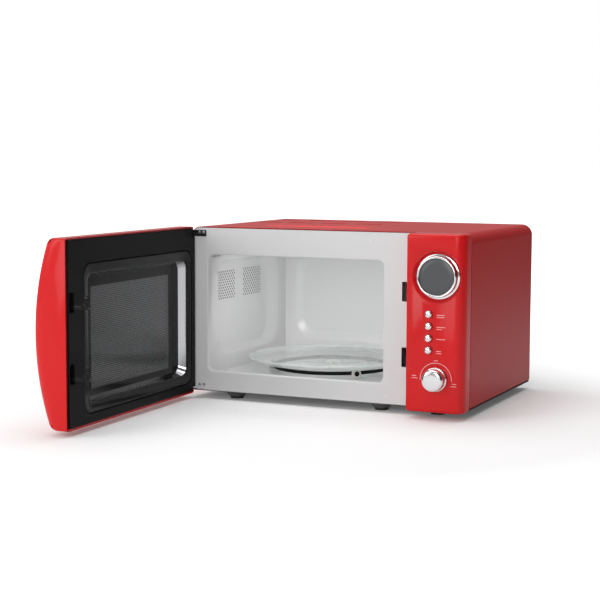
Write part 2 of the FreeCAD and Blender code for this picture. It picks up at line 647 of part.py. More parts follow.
def control_panel():
    """Moulded panel: a hollow box open behind, with a dished seat for the display."""
    body = new_body("control_panel")
    block(body, "panel_block", ("panel_left", "-panel_front", "panel_low"),
          ("cabinet_width - panel_left", "panel_front - 0.2", "panel_high - panel_low"))
    width, front = size("cabinet_width"), -size("panel_front")
    round_edges(body, "right_corner", "panel_radius", direction=(0, 0, 1),
                keep=lambda m: m.x > width - 1 and m.y < front + 1)
    round_edges(body, "left_corner", "2", direction=(0, 0, 1),
                keep=lambda m: m.x < size("panel_left") + 1 and m.y < front + 1)
    low, high = size("panel_low"), size("panel_high")

    def on_end(edge):
        middle = edge.CenterOfMass
        at_end = min(abs(middle.z - low), abs(middle.z - high)) < 0.1
        return at_end and edge.BoundBox.ZLength < 0.01 and middle.y < front + 6
    ends = [name for name, edge in named_edges(body) if on_end(edge)]
    round_edges(body, "end_edges", "panel_edge", names=ends)
    inner_width = "cabinet_width - panel_left - 2*panel_wall"
    corner = "(panel_radius - panel_wall)*0.7"
    hollow = outline(body, "hollow_section", "XY", [
        ("0", "0"), ("0", "panel_front"), (inner_width, "panel_front"), (inner_width, corner),
        ("%s - %s" % (inner_width, corner), "0")],
        shift=("panel_left + panel_wall", "panel_wall - panel_front", "panel_low + panel_wall"))
    pocket(body, hollow, "panel_high - panel_low - 2*panel_wall")
    rod(body, "seat_boss", ("display_across", "-panel_front + 1", "display_up"), "recess_radius + 1",
        "recess_depth + 2", turn="rear")
    taper(body, "seat", ("display_across", "-panel_front", "display_up"), "recess_radius", "recess_floor",
          "recess_depth", turn="rear", cut=True)
    rod(body, "display_hole", ("display_across", "-panel_front - 1", "display_up"), "ring_radius - 1.5", "20",
        turn="rear", cut=True)
    for number in range(4):
        rod(body, "button_hole_%d" % number, ("button_across", "-panel_front - 1", button_height(number)),
            "button_hole", "8", turn="rear", cut=True)
    rod(body, "shaft_hole_cut", ("knob_across", "-panel_front - 1", "knob_up"), "shaft_hole", "8",
        turn="rear", cut=True)
    place(body)


def named_edges(body):
    return [("Edge%d" % number, edge) for number, edge in enumerate(body.Tip.Shape.Edges, start=1)]


def button_height(number):
    return "button_first - %d*button_pitch" % number


def display():
    """Chrome bezel, the dark lens inside it and the module behind."""
    bezel = new_body("display_bezel")
    turned(bezel, "bezel_section", [
        ("lens_radius", "0"), ("ring_radius", "0"), ("ring_radius", "7"), ("ring_radius - 1.2", "8.6"),
        ("lens_radius + 1.2", "8.6"), ("lens_radius", "7")])
    place(bezel, at=("display_across", "-panel_front + recess_depth", "display_up"), turn="front")
    lens = new_body("display_lens")
    turned(lens, "lens_section", [("0", "0"), ("lens_radius - 0.05", "0"), ("lens_radius - 0.05", "5"),
                                  ("lens_radius - 1", "6"), ("0", "6.4")])
    place(lens, at=("display_across", "-panel_front + recess_depth", "display_up"), turn="front")
    module = new_body("display_module")
    block(module, "glass_block",
          ("display_across - 18", "-panel_front + recess_depth + 0.1", "display_up - 11"),
          ("36", "5", "22"))
    place(module)


def buttons():
    """Four push buttons: a domed cap on a stem with a retaining flange."""
    for number in range(4):
        body = new_body("button_%d" % (number + 1))
        turned(body, "button_section_%d" % number, [
            ("0", "0"), ("2", "0"), ("2", "3.2"), ("button_radius + 1.2", "3.2"),
            ("button_radius + 1.2", "4.2"),
            ("button_radius", "4.2"), ("button_radius", "11.4"), ("button_radius - 0.8", "12.8"),
            ("button_radius - 2.6", "13.8"), ("0", "14.3")])
        seat = "-panel_front + panel_wall + button_travel + 4.3"
        place(body, at=("button_across", seat, button_height(number)), turn="front")


def knob():
    """Selector knob, turned from one profile, with its blind shaft socket."""
    body = new_body("selector_knob")
    turned(body, "knob_section", [
        ("shaft_radius + 0.01", "0"), ("knob_radius - 1", "0"), ("knob_radius", "1"), ("knob_radius", "4"),
        ("knob_radius - 2", "5"), ("knob_radius - 2.6", "knob_height - 3.4"),
        ("knob_radius - 5", "knob_height - 1"),
        ("0", "knob_height"), ("0", "12"), ("shaft_radius + 0.01", "12")])
    place(body, at=("knob_across", "-panel_front - knob_gap", "knob_up"), turn="front")
    shaft = new_body("knob_shaft")
    rod(shaft, "spindle", ("0", "0", "0"), "shaft_radius", "24")
    place(shaft, at=("knob_across", "-panel_front + 12.6", "knob_up"), turn="front")
    encoder = new_body("selector_encoder")
    block(encoder, "case", ("knob_across - 8", "-panel_front + 5", "knob_up - 8"), ("16", "7.4", "16"))
    rod(encoder, "bush", ("knob_across", "-panel_front + 2.6", "knob_up"), "5.5", "3", turn="rear")
    rod(encoder, "bush_bore", ("knob_across", "-panel_front + 2", "knob_up"), "shaft_radius + 0.06", "20",
        turn="rear", cut=True)
    place(encoder)


def control_board():
    """Circuit board in the panel, with a tact switch behind each button."""
    body = new_body("control_board")
    face = "-panel_front + 19.5"
    block(body, "laminate", ("panel_left + 5", face, "panel_low + 8"),
          ("cabinet_width - panel_left - 10", "board_gauge", "170"))
    for number in range(4):
        block(body, "switch_%d" % number,
              ("button_across - 3", face + " - 6", button_height(number) + " - 3"),
              ("6", "6.2", "6"))
    block(body, "relay", ("button_across + 14", face + " - 12", "button_first - 40"), ("18", "12.2", "22"))
    place(body)


# ---------------------------------------------------------------- latch side

def interlock():
    """Plastic frame behind the latch slots, and the three switches it holds."""
    body = new_body("interlock_frame")
    block(body, "spine", ("hook_across + 8", "plate_gauge", "spine_low"),
          ("shelf_gauge", "shelf_depth", "spine_height"))
    for name, up in (("top", "spine_low + spine_height - shelf_gauge"),
                     ("middle", "spine_low + 68"), ("bottom", "spine_low")):
        block(body, "shelf_" + name, ("hook_across - 14", "plate_gauge", up),
              ("shelf_width", "shelf_depth", "shelf_gauge"))
    place(body)
    switches = []
    for number, up in enumerate(("spine_low + 128", "spine_low + 56", "spine_low + 4.2")):
        case = doc.addObject("Part::Box", "switch_case_%d" % number)
        bind(case, Length="switch_length", Width="switch_depth", Height="switch_height")
        bind_base(case, "Placement", ("hook_across + 12.2", "12", up))
        switches.append(case)
    place(group("door_switches", switches))


# ---------------------------------------------------------------- hinges

def hinge(name, tab, inward):
    """Steel bracket screwed to the front plate, with the pin the door turns on."""
    body = new_body(name)
    low = tab if inward == "down" else "%s - tab_thick" % tab
    block(body, name + "_arm", ("hinge_across - 4", "hinge_along - 4", low),
          ("arm_width", "-hinge_along + 3.8", "tab_thick"))
    plate_low = "%s - leaf_drop" % tab if inward == "down" else "%s - tab_thick" % tab
    block(body, name + "_leaf", ("hinge_across - 1", "-plate_gauge", plate_low),
          ("leaf_width", "1", "leaf_drop + tab_thick"))
    rod(body, name + "_pin", ("hinge_across", "hinge_along", tab), "pin_radius", "pin_length",
        turn=inward)
    place(body)


# ---------------------------------------------------------------- door

def door_shell():
    """Outer moulding, bowed from top to bottom, with the window and its rim."""
    body = new_body("door_shell")
    shell_solid(body, "skin", "0")
    shell_solid(body, "hollow", "door_wall")
    width = "(door_right - door_left)"
    block(body, "window", ("door_left + window_inset", "-door_face - 80", "door_low + window_inset"),
          (width + " - 2*window_inset + 8", "80 - door_rim", "door_high - door_low - 2*window_inset"),
          cut=True)
    block(body, "knuckle_room", ("door_left - 1", "hinge_along - 4.3", "frame_low + 1.7"),
          ("12", "12", "frame_high - frame_low - 3.4"), cut=True)
    hinge_clearances(body)
    place_on_door(body)


def shell_solid(body, name, inset):
    """The bowed block of the door, or the hollow inside it when inset is a wall."""
    cut = inset != "0"
    thick = 0.0 if not cut else size("door_wall")
    low, high = size("door_low") + thick, size("door_high") - thick
    edge, bow = size("door_face") + size("door_edge") - thick, size("door_bow") - thick
    back = size("door_face") + size("door_rim") - 2 if not cut else 0.5
    middle = (low + high) / 2
    rise = bow - (bow ** 2 - ((high - low) / 2) ** 2) ** 0.5
    sketch = body.newObject("Sketcher::SketchObject", name + "_section")
    sketch.AttachmentSupport = (origin_plane(body, "YZ"), "")
    sketch.MapMode = "FlatFace"
    points = [FreeCAD.Vector(-back, low), FreeCAD.Vector(-edge, low), FreeCAD.Vector(-edge, high),
              FreeCAD.Vector(-back, high)]
    half_angle = math.asin((high - low) / 2 / bow)
    circle = Part.Circle(FreeCAD.Vector(bow - edge - rise, middle), FreeCAD.Vector(0, 0, 1), bow)
    arc = Part.ArcOfCircle(circle, math.pi - half_angle, math.pi + half_angle)
    sketch.addGeometry([Part.LineSegment(points[0], points[1]), arc, Part.LineSegment(points[2], points[3]),
                        Part.LineSegment(points[3], points[0])], False)
    for rule in (("Coincident", 0, 2, 1, 2), ("Coincident", 1, 1, 2, 1), ("Coincident", 2, 2, 3, 1),
                 ("Coincident", 3, 2, 0, 1), ("Horizontal", 0), ("Horizontal", 2), ("Vertical", 3),
                 ("Vertical", 1, 1, 1, 2)):
        sketch.addConstraint(Sketcher.Constraint(*rule))
    wall = "- door_wall" if cut else ""
    sizes = (("low", ("DistanceY", -1, 1, 0, 1, low), "door_low" + wall.replace("-", "+")),
             ("tall", ("DistanceY", 0, 1, 3, 1, high - low), "door_high - door_low" + wall * 2),
             ("back", ("DistanceX", 0, 1, -1, 1, back), "door_face + door_rim - 2" if not cut else "0.5"),
             ("edge", ("DistanceX", 0, 2, -1, 1, edge), "door_face + door_edge" + wall),
             ("bow", ("Radius", 1, bow), "door_bow" + wall))
    for label, rule, text in sizes:
        sketch.renameConstraint(sketch.addConstraint(Sketcher.Constraint(*rule)), label)
        sketch.setExpression("Constraints." + label, bound(text))
    sketch.setExpression("AttachmentOffset.Base.z", bound("door_left" + wall.replace("-", "+")))
    doc.recompute()
    kind = "PartDesign::Pocket" if cut else "PartDesign::Pad"
    item = body.newObject(kind, name)
    item.Profile = sketch
    item.Reversed = cut
    bind(item, Length="door_right - door_left" + wall * 2)
    doc.recompute()
    if not cut:
        names = [edge_name for edge_name, line in named_edges(body)
                 if line.CenterOfMass.y < -size("door_edge") + 1
                 and max(line.BoundBox.XLength, line.BoundBox.ZLength) > 100]
        round_edges(body, name + "_round", "door_round", names=names)


def hinge_clearances(body):
    """Room for the two hinge arms as the door swings about them."""
    for name, low in (("upper", "tab_upper - 0.6"), ("lower", "tab_lower - tab_thick - 0.6")):
        block(body, "%s_%s_arm_room" % (body.Label, name), ("-20", "hinge_along - 5.5", low),
              ("hinge_across + 30", "20", "tab_thick + 1.2"), cut=True)


def door_frame():
    """Inner frame that carries the glass, the screen, the latch and the hinge bores."""
    body = new_body("door_frame")
    block(body, "frame_block", ("frame_left", "-door_face - frame_depth", "frame_low"),
          ("frame_right - frame_left", "frame_depth", "frame_high - frame_low"))
    round_edges(body, "frame_corners", "6")
    block(body, "frame_opening", ("choke_left", "-door_face - frame_depth - 1", "choke_low"),
          ("choke_right - choke_left", "frame_depth + 2", "choke_high - choke_low"), cut=True)
    rod(body, "knuckle", ("hinge_across", "hinge_along", "frame_low + knuckle_gap"),
        "knuckle_radius", "frame_high - frame_low - 2*knuckle_gap")
    block(body, "knuckle_web",
          ("hinge_across", "hinge_along - knuckle_radius", "frame_low + knuckle_gap"),
          ("knuckle_radius", "2*knuckle_radius", "frame_high - frame_low - 2*knuckle_gap"))
    for name, start, turn in (("upper", "tab_upper + 1", "down"), ("lower", "tab_lower - 1", "up")):
        rod(body, name + "_bore", ("hinge_across", "hinge_along", start), "pin_bore", "12",
            turn=turn, cut=True)
    hinge_clearances(body)
    block(body, "latch_room", ("hook_across - 2", "-door_face - frame_depth - 1", "lower_hook - 12"),
          ("hook_width + 4", "frame_depth + 2", "upper_hook - lower_hook + hook_height + 24"), cut=True)
    place_on_door(body)


def choke_cover():
    """Inner trim of the door: a flat band, and a wall that leads down to the screen."""
    body = new_body("choke_cover")
    left, low = "choke_left + choke_gap", "choke_low + choke_gap"
    wide = "(choke_right - choke_left - 2*choke_gap)"
    tall = "(choke_high - choke_low - 2*choke_gap)"
    block(body, "cover", (left, "-door_face - screen_depth + 0.1", low),
          (wide, "screen_depth - 0.1", tall))
    round_edges(body, "cover_corners", "8")
    block(body, "cover_window",
          (left + " + choke_band", "-door_face - screen_depth - 2", low + " + choke_band"),
          (wide + " - 2*choke_band", "screen_depth + 4", tall + " - 2*choke_band"), cut=True)
    place_on_door(body)


def door_sheet(label, margin, depth, thick, radius):
    """A flat sheet of the door: the punched screen or the inner pane, set in by a margin."""
    body = new_body(label)
    block(body, label + "_sheet",
          ("choke_left + " + margin, "-door_face - " + depth, "choke_low + " + margin),
          ("choke_right - choke_left - 2*%s" % margin, thick, "choke_high - choke_low - 2*%s" % margin))
    round_edges(body, label + "_corners", radius)
    place_on_door(body)


def outer_glass():
    """Tinted outer pane behind the window of the shell."""
    body = new_body("outer_glass")
    block(body, "pane", ("door_left + pane_inset", "-door_face - 39", "door_low + pane_inset"),
          ("door_right - door_left - 2*pane_inset + 8", "pane_gauge",
           "door_high - door_low - 2*pane_inset"))
    round_edges(body, "pane_corners", "8")
    place_on_door(body)


def latch():
    """Sliding latch plate with two hooks, and the spring that pulls it down."""
    body = new_body("latch_hooks")
    block(body, "latch_bar", ("hook_across", "-door_face - 10", "lower_hook - 4"),
          ("hook_width", "6", "upper_hook - lower_hook + hook_height + 6"))
    for name in ("upper_hook", "lower_hook"):
        block(body, name + "_arm", ("hook_across", "-door_face - 5", name),
              ("hook_width", "hook_reach + 5", "hook_height - 8"))
        block(body, name + "_tip", ("hook_across", "-door_face + hook_reach - 8", name),
              ("hook_width", "8", "hook_height"))
    place_on_door(body)
    spring = new_body("latch_spring")
    turned(spring, "spring_section", [
        ("spring_inner", "0"), ("spring_outer", "0"), ("spring_outer", "spring_length"),
        ("spring_inner", "spring_length")])
    place_on_door_at(spring, ("hook_across + hook_width/2", "-door_face - 7",
                              "upper_hook + hook_height + 2.2"))


def place_on_door_at(item, at):
    """As place_on_door, for a piece drawn about its own axis."""
    item.Placement = FreeCAD.Placement(FreeCAD.Vector(), FreeCAD.Rotation(FreeCAD.Vector(0, 0, -1), 1))
    item.setExpression("Placement.Rotation.Angle", bound("door_open"))
    across, along, up = at
    across, along = "(%s - hinge_across)" % across, "(%s - hinge_along)" % along
    base = ("hinge_across + %s*cos(door_open) + %s*sin(door_open) - origin_across" % (across, along),
            "hinge_along - %s*sin(door_open) + %s*cos(door_open) - origin_along" % (across, along), up)
    bind_base(item, "Placement", base)


# ---------------------------------------------------------------- fasteners

def case_screws():
    """Rear screws that hold the wrapper's back edge and the rear sheet."""
    rear = "cabinet_front + cabinet_depth - 0.4"
    places = [("14", "30"), ("14", "225"), ("426", "30"), ("426", "225"), ("220", "246")]
    heads = [drum("screw_%d" % number, (across, rear, up), "3.6", "2.2", turn="rear")
             for number, (across, up) in enumerate(places)]
    place(group("case_screws", heads))


def build():
    cabinet_wrapper()
    base_plate()
    rubber_feet()
    back_plate()
    cord_gland()
    cavity_front_plate()
    cavity_shell()
    cavity_rear()
    cavity_floor()
    waveguide()
    waveguide_cover()
    magnetron()
    magnetron_fins()
    transformer()
    capacitor()
    fan()
    lamp_and_filter()
    turntable()
    control_panel()
    display()
    buttons()
    knob()
    control_board()
    interlock()
    hinge("upper_hinge", "tab_upper", "down")
    hinge("lower_hinge", "tab_lower", "up")
    door_shell()
    door_frame()
    choke_cover()
    door_sheet("door_screen", "choke_gap", "(screen_depth + 0.9)", "0.8", "6")
    door_sheet("inner_pane", "(choke_band + 2)", "(screen_depth + 2.2)", "1", "4")
    outer_glass()
    latch()
    case_screws()
    doc.recompute()


def check():
    """Stop on any failed object or unsound solid before anything is written."""
    for item in doc.Objects:
        if "Invalid" in item.State or "Error" in item.State:
            raise RuntimeError("failed object: " + item.Name)
    for item in SUBPARTS:
        shape = item.Shape
        if shape.isNull() or not shape.isValid() or not shape.Solids:
            raise RuntimeError("unsound shape: " + item.Label)


def export():
    os.makedirs("parts", exist_ok=True)
    for item in SUBPARTS:
        item.Shape.exportStep("parts/%s.step" % item.Label)
        box = item.Shape.BoundBox
        print("%-22s %2d solid(s) %9.0f mm3  x %7.1f %7.1f  y %7.1f %7.1f  z %6.1f %6.1f" % (
            item.Label, len(item.Shape.Solids), item.Shape.Volume, box.XMin, box.XMax, box.YMin, box.YMax,
            box.ZMin, box.ZMax))


build()
check()
export()
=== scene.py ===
"""Countertop microwave oven with its door open: looks built around the CAD frame.

Shapes are drawn in millimetres in the cabinet's own coordinates, with the door shut: X to the
right from the cabinet's left side, Y back from the front sheet, Z up from the worktop. Each
piece is then carried into the frame, and a door piece is first turned about the hinge.
"""

import json
import logging
import math
from dataclasses import dataclass
from enum import Enum
from typing import Callable, Iterable, Sequence

import bmesh
import bpy
from mathutils import Matrix, Vector


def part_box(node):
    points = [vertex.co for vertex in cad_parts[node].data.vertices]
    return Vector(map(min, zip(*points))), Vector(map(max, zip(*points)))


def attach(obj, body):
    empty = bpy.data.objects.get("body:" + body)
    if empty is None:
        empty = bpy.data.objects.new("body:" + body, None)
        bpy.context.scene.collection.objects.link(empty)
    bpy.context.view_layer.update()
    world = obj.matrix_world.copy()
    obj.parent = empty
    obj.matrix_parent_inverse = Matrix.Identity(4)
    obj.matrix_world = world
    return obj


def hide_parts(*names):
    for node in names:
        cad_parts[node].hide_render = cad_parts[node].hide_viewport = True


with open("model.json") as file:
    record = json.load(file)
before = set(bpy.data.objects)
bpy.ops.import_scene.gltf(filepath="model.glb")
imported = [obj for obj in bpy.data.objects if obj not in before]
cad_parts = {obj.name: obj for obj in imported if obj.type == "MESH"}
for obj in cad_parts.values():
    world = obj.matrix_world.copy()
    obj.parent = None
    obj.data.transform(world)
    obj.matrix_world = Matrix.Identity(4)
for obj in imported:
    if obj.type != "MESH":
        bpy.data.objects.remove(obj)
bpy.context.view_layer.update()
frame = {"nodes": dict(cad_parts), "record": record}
LOG = logging.getLogger("microwave_oven")
MM = 0.001
SHARP_ANGLE = 38.0
HIDDEN_CORNER = 0.02
Point2 = tuple[float, float]
Point3 = tuple[float, float, float]


# ------------------------------------------------------------------ frame

def joint_named(name: str) -> dict:
    """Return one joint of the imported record."""
    return next(joint for joint in frame["record"]["behaviour"]["joints"] if joint["name"] == name)


class Datum:
    """Where the cabinet's own coordinates lie in the frame."""

    def fixed(self) -> Matrix:
        """Matrix from cabinet millimetres to the frame's metres."""
        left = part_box("cabinet_wrapper")[0][0]
        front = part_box("cavity_front_plate")[0][1]
        return Matrix.Translation((left, front, 0.0)) @ Matrix.Scale(MM, 4)

    def door(self) -> Matrix:
        """Matrix that also turns the shut door about its hinge to where it rests."""
        swing = joint_named("door_swing")
        pivot = Matrix.Translation(Vector(swing["pos_m"]))
        turn = Matrix.Rotation(-math.radians(swing["range_deg"][1]), 4, "Z")
        return pivot @ turn @ pivot.inverted() @ self.fixed()


DATUM = Datum()
FACE_FRONT = Matrix.Rotation(math.radians(90.0), 4, "X")
FACE_RIGHT = Matrix.Rotation(math.radians(90.0), 4, "Z") @ Matrix.Rotation(math.radians(90.0), 4, "X")


def at(x: float, y: float, z: float, turn: Matrix | None = None) -> Matrix:
    """Place a shape drawn about its own origin at a point of the cabinet."""
    return Matrix.Translation((x, y, z)) @ (turn if turn is not None else Matrix.Identity(4))


# ------------------------------------------------------------------ finishes

class Grain(Enum):
    """Kinds of fine surface: how noise is stretched in X, Y and Z."""

    EVEN = (1.0, 1.0, 1.0)
    BRUSHED_ACROSS = (0.03, 1.0, 1.0)
    STACKED = (0.02, 1.0, 0.02)


def surface_group() -> bpy.types.NodeTree:
    """Build once the group that varies colour, roughness and height over a surface.

    Returns:
        The node group, with colours, roughness limits and grain as named inputs.
    """
    found = bpy.data.node_groups.get("fine_surface")
    if found:
        return found
    group = bpy.data.node_groups.new("fine_surface", "ShaderNodeTree")
    sockets = (("Vector", "NodeSocketVector"), ("Colour", "NodeSocketColor"), ("Shade", "NodeSocketColor"),
               ("Smooth", "NodeSocketFloat"), ("Rough", "NodeSocketFloat"), ("Grain Scale", "NodeSocketFloat"),
               ("Cloud Scale", "NodeSocketFloat"))
    for name, kind in sockets:
        group.interface.new_socket(name, in_out="INPUT", socket_type=kind)
    for name, kind in (("Colour", "NodeSocketColor"), ("Roughness", "NodeSocketFloat"),
                       ("Height", "NodeSocketFloat")):
        group.interface.new_socket(name, in_out="OUTPUT", socket_type=kind)
    nodes, links = group.nodes, group.links
    source, target = nodes.new("NodeGroupInput"), nodes.new("NodeGroupOutput")
    grain, cloud = nodes.new("ShaderNodeTexNoise"), nodes.new("ShaderNodeTexNoise")
    grain.inputs["Detail"].default_value = 4.0
    cloud.inputs["Detail"].default_value = 3.0
    for noise, scale in ((grain, "Grain Scale"), (cloud, "Cloud Scale")):
        links.new(source.outputs["Vector"], noise.inputs["Vector"])
        links.new(source.outputs[scale], noise.inputs["Scale"])
    blend = nodes.new("ShaderNodeMix")
    blend.data_type = "RGBA"
    average = nodes.new("ShaderNodeMath")
    average.operation = "MULTIPLY_ADD"
    average.inputs[1].default_value = 0.5
    links.new(grain.outputs["Fac"], average.inputs[0])
    half = nodes.new("ShaderNodeMath")
    half.operation = "MULTIPLY"
    half.inputs[1].default_value = 0.5
    links.new(cloud.outputs["Fac"], half.inputs[0])
    links.new(half.outputs[0], average.inputs[2])
    links.new(average.outputs[0], blend.inputs["Factor"])
    links.new(source.outputs["Colour"], blend.inputs[6])
    links.new(source.outputs["Shade"], blend.inputs[7])
    spread = nodes.new("ShaderNodeMapRange")
    spread.clamp = False
    links.new(grain.outputs["Fac"], spread.inputs["Value"])
    links.new(source.outputs["Smooth"], spread.inputs["To Min"])
    links.new(source.outputs["Rough"], spread.inputs["To Max"])
    links.new(blend.outputs[2], target.inputs["Colour"])
    links.new(spread.outputs["Result"], target.inputs["Roughness"])
    links.new(grain.outputs["Fac"], target.inputs["Height"])
    return group


@dataclass(frozen=True)
class Finish:
    """A surface finish: two close colours, roughness limits, grain and coat."""

    name: str
    colour: Point3
    shade: Point3
    smooth: float
    rough: float
    metallic: float = 0.0
    coat: float = 0.0
    coat_rough: float = 0.05
    grain: Grain = Grain.EVEN
    grain_scale: float = 900.0
    cloud_scale: float = 14.0
    relief: float = 0.05
    relief_depth: float = 0.0002
    transmission: float = 0.0
    specular: float = 0.5
    alpha: float = 1.0
    ior: float = 1.45

    def material(self) -> bpy.types.Material:
        """Return this finish's material, building it the first time."""
        found = bpy.data.materials.get(self.name)
        if found:
            return found
        material = bpy.data.materials.new(self.name)
        material.use_nodes = True
        nodes, links = material.node_tree.nodes, material.node_tree.links
        shader = nodes["Principled BSDF"]
        group = nodes.new("ShaderNodeGroup")
        group.node_tree = surface_group()
        coordinates = nodes.new("ShaderNodeTexCoord")
        mapping = nodes.new("ShaderNodeMapping")
        mapping.inputs["Scale"].default_value = self.grain.value
        links.new(coordinates.outputs["Object"], mapping.inputs["Vector"])
        links.new(mapping.outputs["Vector"], group.inputs["Vector"])
        group.inputs["Colour"].default_value = (*self.colour, 1.0)
        group.inputs["Shade"].default_value = (*self.shade, 1.0)
        group.inputs["Smooth"].default_value = self.smooth
        group.inputs["Rough"].default_value = self.rough
        group.inputs["Grain Scale"].default_value = self.grain_scale
        group.inputs["Cloud Scale"].default_value = self.cloud_scale
        links.new(group.outputs["Colour"], shader.inputs["Base Color"])
        links.new(group.outputs["Roughness"], shader.inputs["Roughness"])
        bump = nodes.new("ShaderNodeBump")
        bump.inputs["Strength"].default_value = self.relief
        bump.inputs["Distance"].default_value = self.relief_depth
        links.new(group.outputs["Height"], bump.inputs["Height"])
        links.new(bump.outputs["Normal"], shader.inputs["Normal"])
        shader.inputs["Metallic"].default_value = self.metallic
        shader.inputs["Coat Weight"].default_value = self.coat
        shader.inputs["Coat Roughness"].default_value = self.coat_rough
        shader.inputs["IOR"].default_value = self.ior
        shader.inputs["Specular IOR Level"].default_value = self.specular
        shader.inputs["Transmission Weight"].default_value = self.transmission
        shader.inputs["Alpha"].default_value = self.alpha
        return material


RED_ENAMEL = Finish("red_enamel", (0.50, 0.004, 0.005), (0.485, 0.0035, 0.0045), 0.30, 0.34, specular=0.12,
                    grain_scale=420.0, relief=0.0)
RED_PLASTIC = Finish("red_moulding", (0.62, 0.010, 0.012), (0.60, 0.009, 0.011), 0.22, 0.26, specular=0.25,
                     coat=0.08, grain_scale=600.0, relief=0.0)
PRESSED_GREY = Finish("front_sheet_grey", (0.66, 0.66, 0.665), (0.64, 0.64, 0.645), 0.42, 0.50,
                      grain_scale=1500.0, relief=0.02)
CAVITY_GREY = Finish("cavity_enamel", (0.78, 0.78, 0.785), (0.75, 0.75, 0.755), 0.22, 0.30, coat=0.2,
                     grain_scale=1200.0, relief=0.015)
CHASSIS_GREY = Finish("chassis_zinc", (0.36, 0.36, 0.37), (0.27, 0.27, 0.28), 0.35, 0.55, metallic=0.8,
                      grain_scale=160.0, cloud_scale=45.0, relief=0.05)
BASE_BLACK = Finish("base_black", (0.020, 0.020, 0.021), (0.028, 0.028, 0.029), 0.45, 0.60, specular=0.3,
                    grain_scale=600.0, relief=0.03)
BLACK_SATIN = Finish("black_satin_moulding", (0.0075, 0.0075, 0.008), (0.010, 0.010, 0.0105), 0.34, 0.42,
                     specular=0.08, grain_scale=1800.0, relief=0.02)
BLACK_GLOSS = Finish("black_gloss_moulding", (0.004, 0.004, 0.0045), (0.006, 0.006, 0.0065), 0.10, 0.16,
                     specular=0.25, grain_scale=900.0, relief=0.0)
DARK_MIRROR = Finish("black_chrome", (0.50, 0.50, 0.51), (0.46, 0.46, 0.47), 0.10, 0.14, metallic=1.0,
                     grain_scale=500.0, relief=0.0)
CHROME = Finish("polished_chrome", (0.86, 0.86, 0.87), (0.82, 0.82, 0.83), 0.06, 0.10, metallic=1.0,
                grain_scale=700.0, relief=0.0)
SATIN_CHROME = Finish("satin_chrome", (0.82, 0.82, 0.83), (0.76, 0.76, 0.77), 0.14, 0.20, metallic=1.0,
                      grain_scale=1400.0, relief=0.0)
SMOKED_LENS = Finish("smoked_lens", (0.070, 0.073, 0.076), (0.066, 0.069, 0.072), 0.30, 0.36, coat=0.1,
                     grain_scale=900.0, relief=0.0)
CLEAR_GLASS = Finish("tray_glass", (0.96, 0.975, 0.97), (0.95, 0.97, 0.965), 0.0, 0.02, transmission=1.0,
                     grain_scale=60.0, relief=0.0, ior=1.45, alpha=0.62)
TINTED_GLASS = Finish("tinted_pane", (0.020, 0.021, 0.023), (0.022, 0.023, 0.025), 0.04, 0.08, coat=0.5,
                      grain_scale=60.0, relief=0.0, alpha=0.95)
INNER_FILM = Finish("inner_film", (0.030, 0.031, 0.032), (0.027, 0.028, 0.029), 0.05, 0.08,
                    grain_scale=60.0, relief=0.0, alpha=0.55)
SCREEN_STEEL = Finish("screen_steel", (0.20, 0.20, 0.205), (0.18, 0.18, 0.185), 0.16, 0.24, metallic=1.0,
                      grain_scale=900.0, relief=0.0)
WHITE_MOULDING = Finish("white_moulding", (0.78, 0.78, 0.75), (0.72, 0.72, 0.69), 0.35, 0.45,
                        grain_scale=900.0, relief=0.03)
RUBBER = Finish("foot_rubber", (0.016, 0.016, 0.016), (0.026, 0.026, 0.026), 0.60, 0.80, grain_scale=700.0,
                relief=0.2)
FOOT_GREY = Finish("foot_boss_grey", (0.11, 0.11, 0.115), (0.09, 0.09, 0.095), 0.40, 0.50, grain_scale=900.0,
                   relief=0.03)
DARK_STEEL = Finish("dark_steel", (0.030, 0.030, 0.032), (0.022, 0.022, 0.024), 0.30, 0.40, metallic=0.6,
                    grain_scale=500.0, relief=0.02)
ZINC = Finish("zinc_plate", (0.60, 0.60, 0.62), (0.48, 0.49, 0.51), 0.25, 0.45, metallic=1.0,
              grain_scale=90.0, cloud_scale=60.0, relief=0.04)
ALUMINIUM = Finish("aluminium_sheet", (0.78, 0.78, 0.79), (0.70, 0.70, 0.71), 0.25, 0.38, metallic=1.0,
                   grain=Grain.BRUSHED_ACROSS, relief=0.03)
LAMINATIONS = Finish("core_laminations", (0.16, 0.16, 0.17), (0.05, 0.05, 0.055), 0.40, 0.60, metallic=0.6,
                     grain=Grain.STACKED, grain_scale=900.0, relief=0.4, relief_depth=0.0006)
COPPER = Finish("winding_copper", (0.55, 0.20, 0.07), (0.30, 0.09, 0.03), 0.30, 0.45, metallic=0.9,
                grain=Grain.STACKED, grain_scale=700.0, relief=0.4, relief_depth=0.0006)
BOARD = Finish("board_laminate", (0.015, 0.10, 0.035), (0.03, 0.16, 0.06), 0.35, 0.5, grain_scale=260.0,
               cloud_scale=80.0, relief=0.1)
MICA = Finish("mica_sheet", (0.42, 0.36, 0.26), (0.55, 0.49, 0.38), 0.35, 0.55, grain_scale=300.0, relief=0.1)
BULB = Finish("lamp_bulb", (0.95, 0.93, 0.85), (0.90, 0.88, 0.80), 0.03, 0.06, transmission=0.9,
              grain_scale=100.0, relief=0.01)
PRINT_WHITE = Finish("printed_white", (0.80, 0.50, 0.50), (0.74, 0.45, 0.45), 0.5, 0.6, grain_scale=2500.0,
                     relief=0.0)
FLOOR_WHITE = Finish("studio_floor", (0.90, 0.90, 0.90), (0.885, 0.885, 0.885), 0.75, 0.85, specular=0.1,
                     grain_scale=40.0, cloud_scale=2.0, relief=0.0)


# ------------------------------------------------------------------ shapes

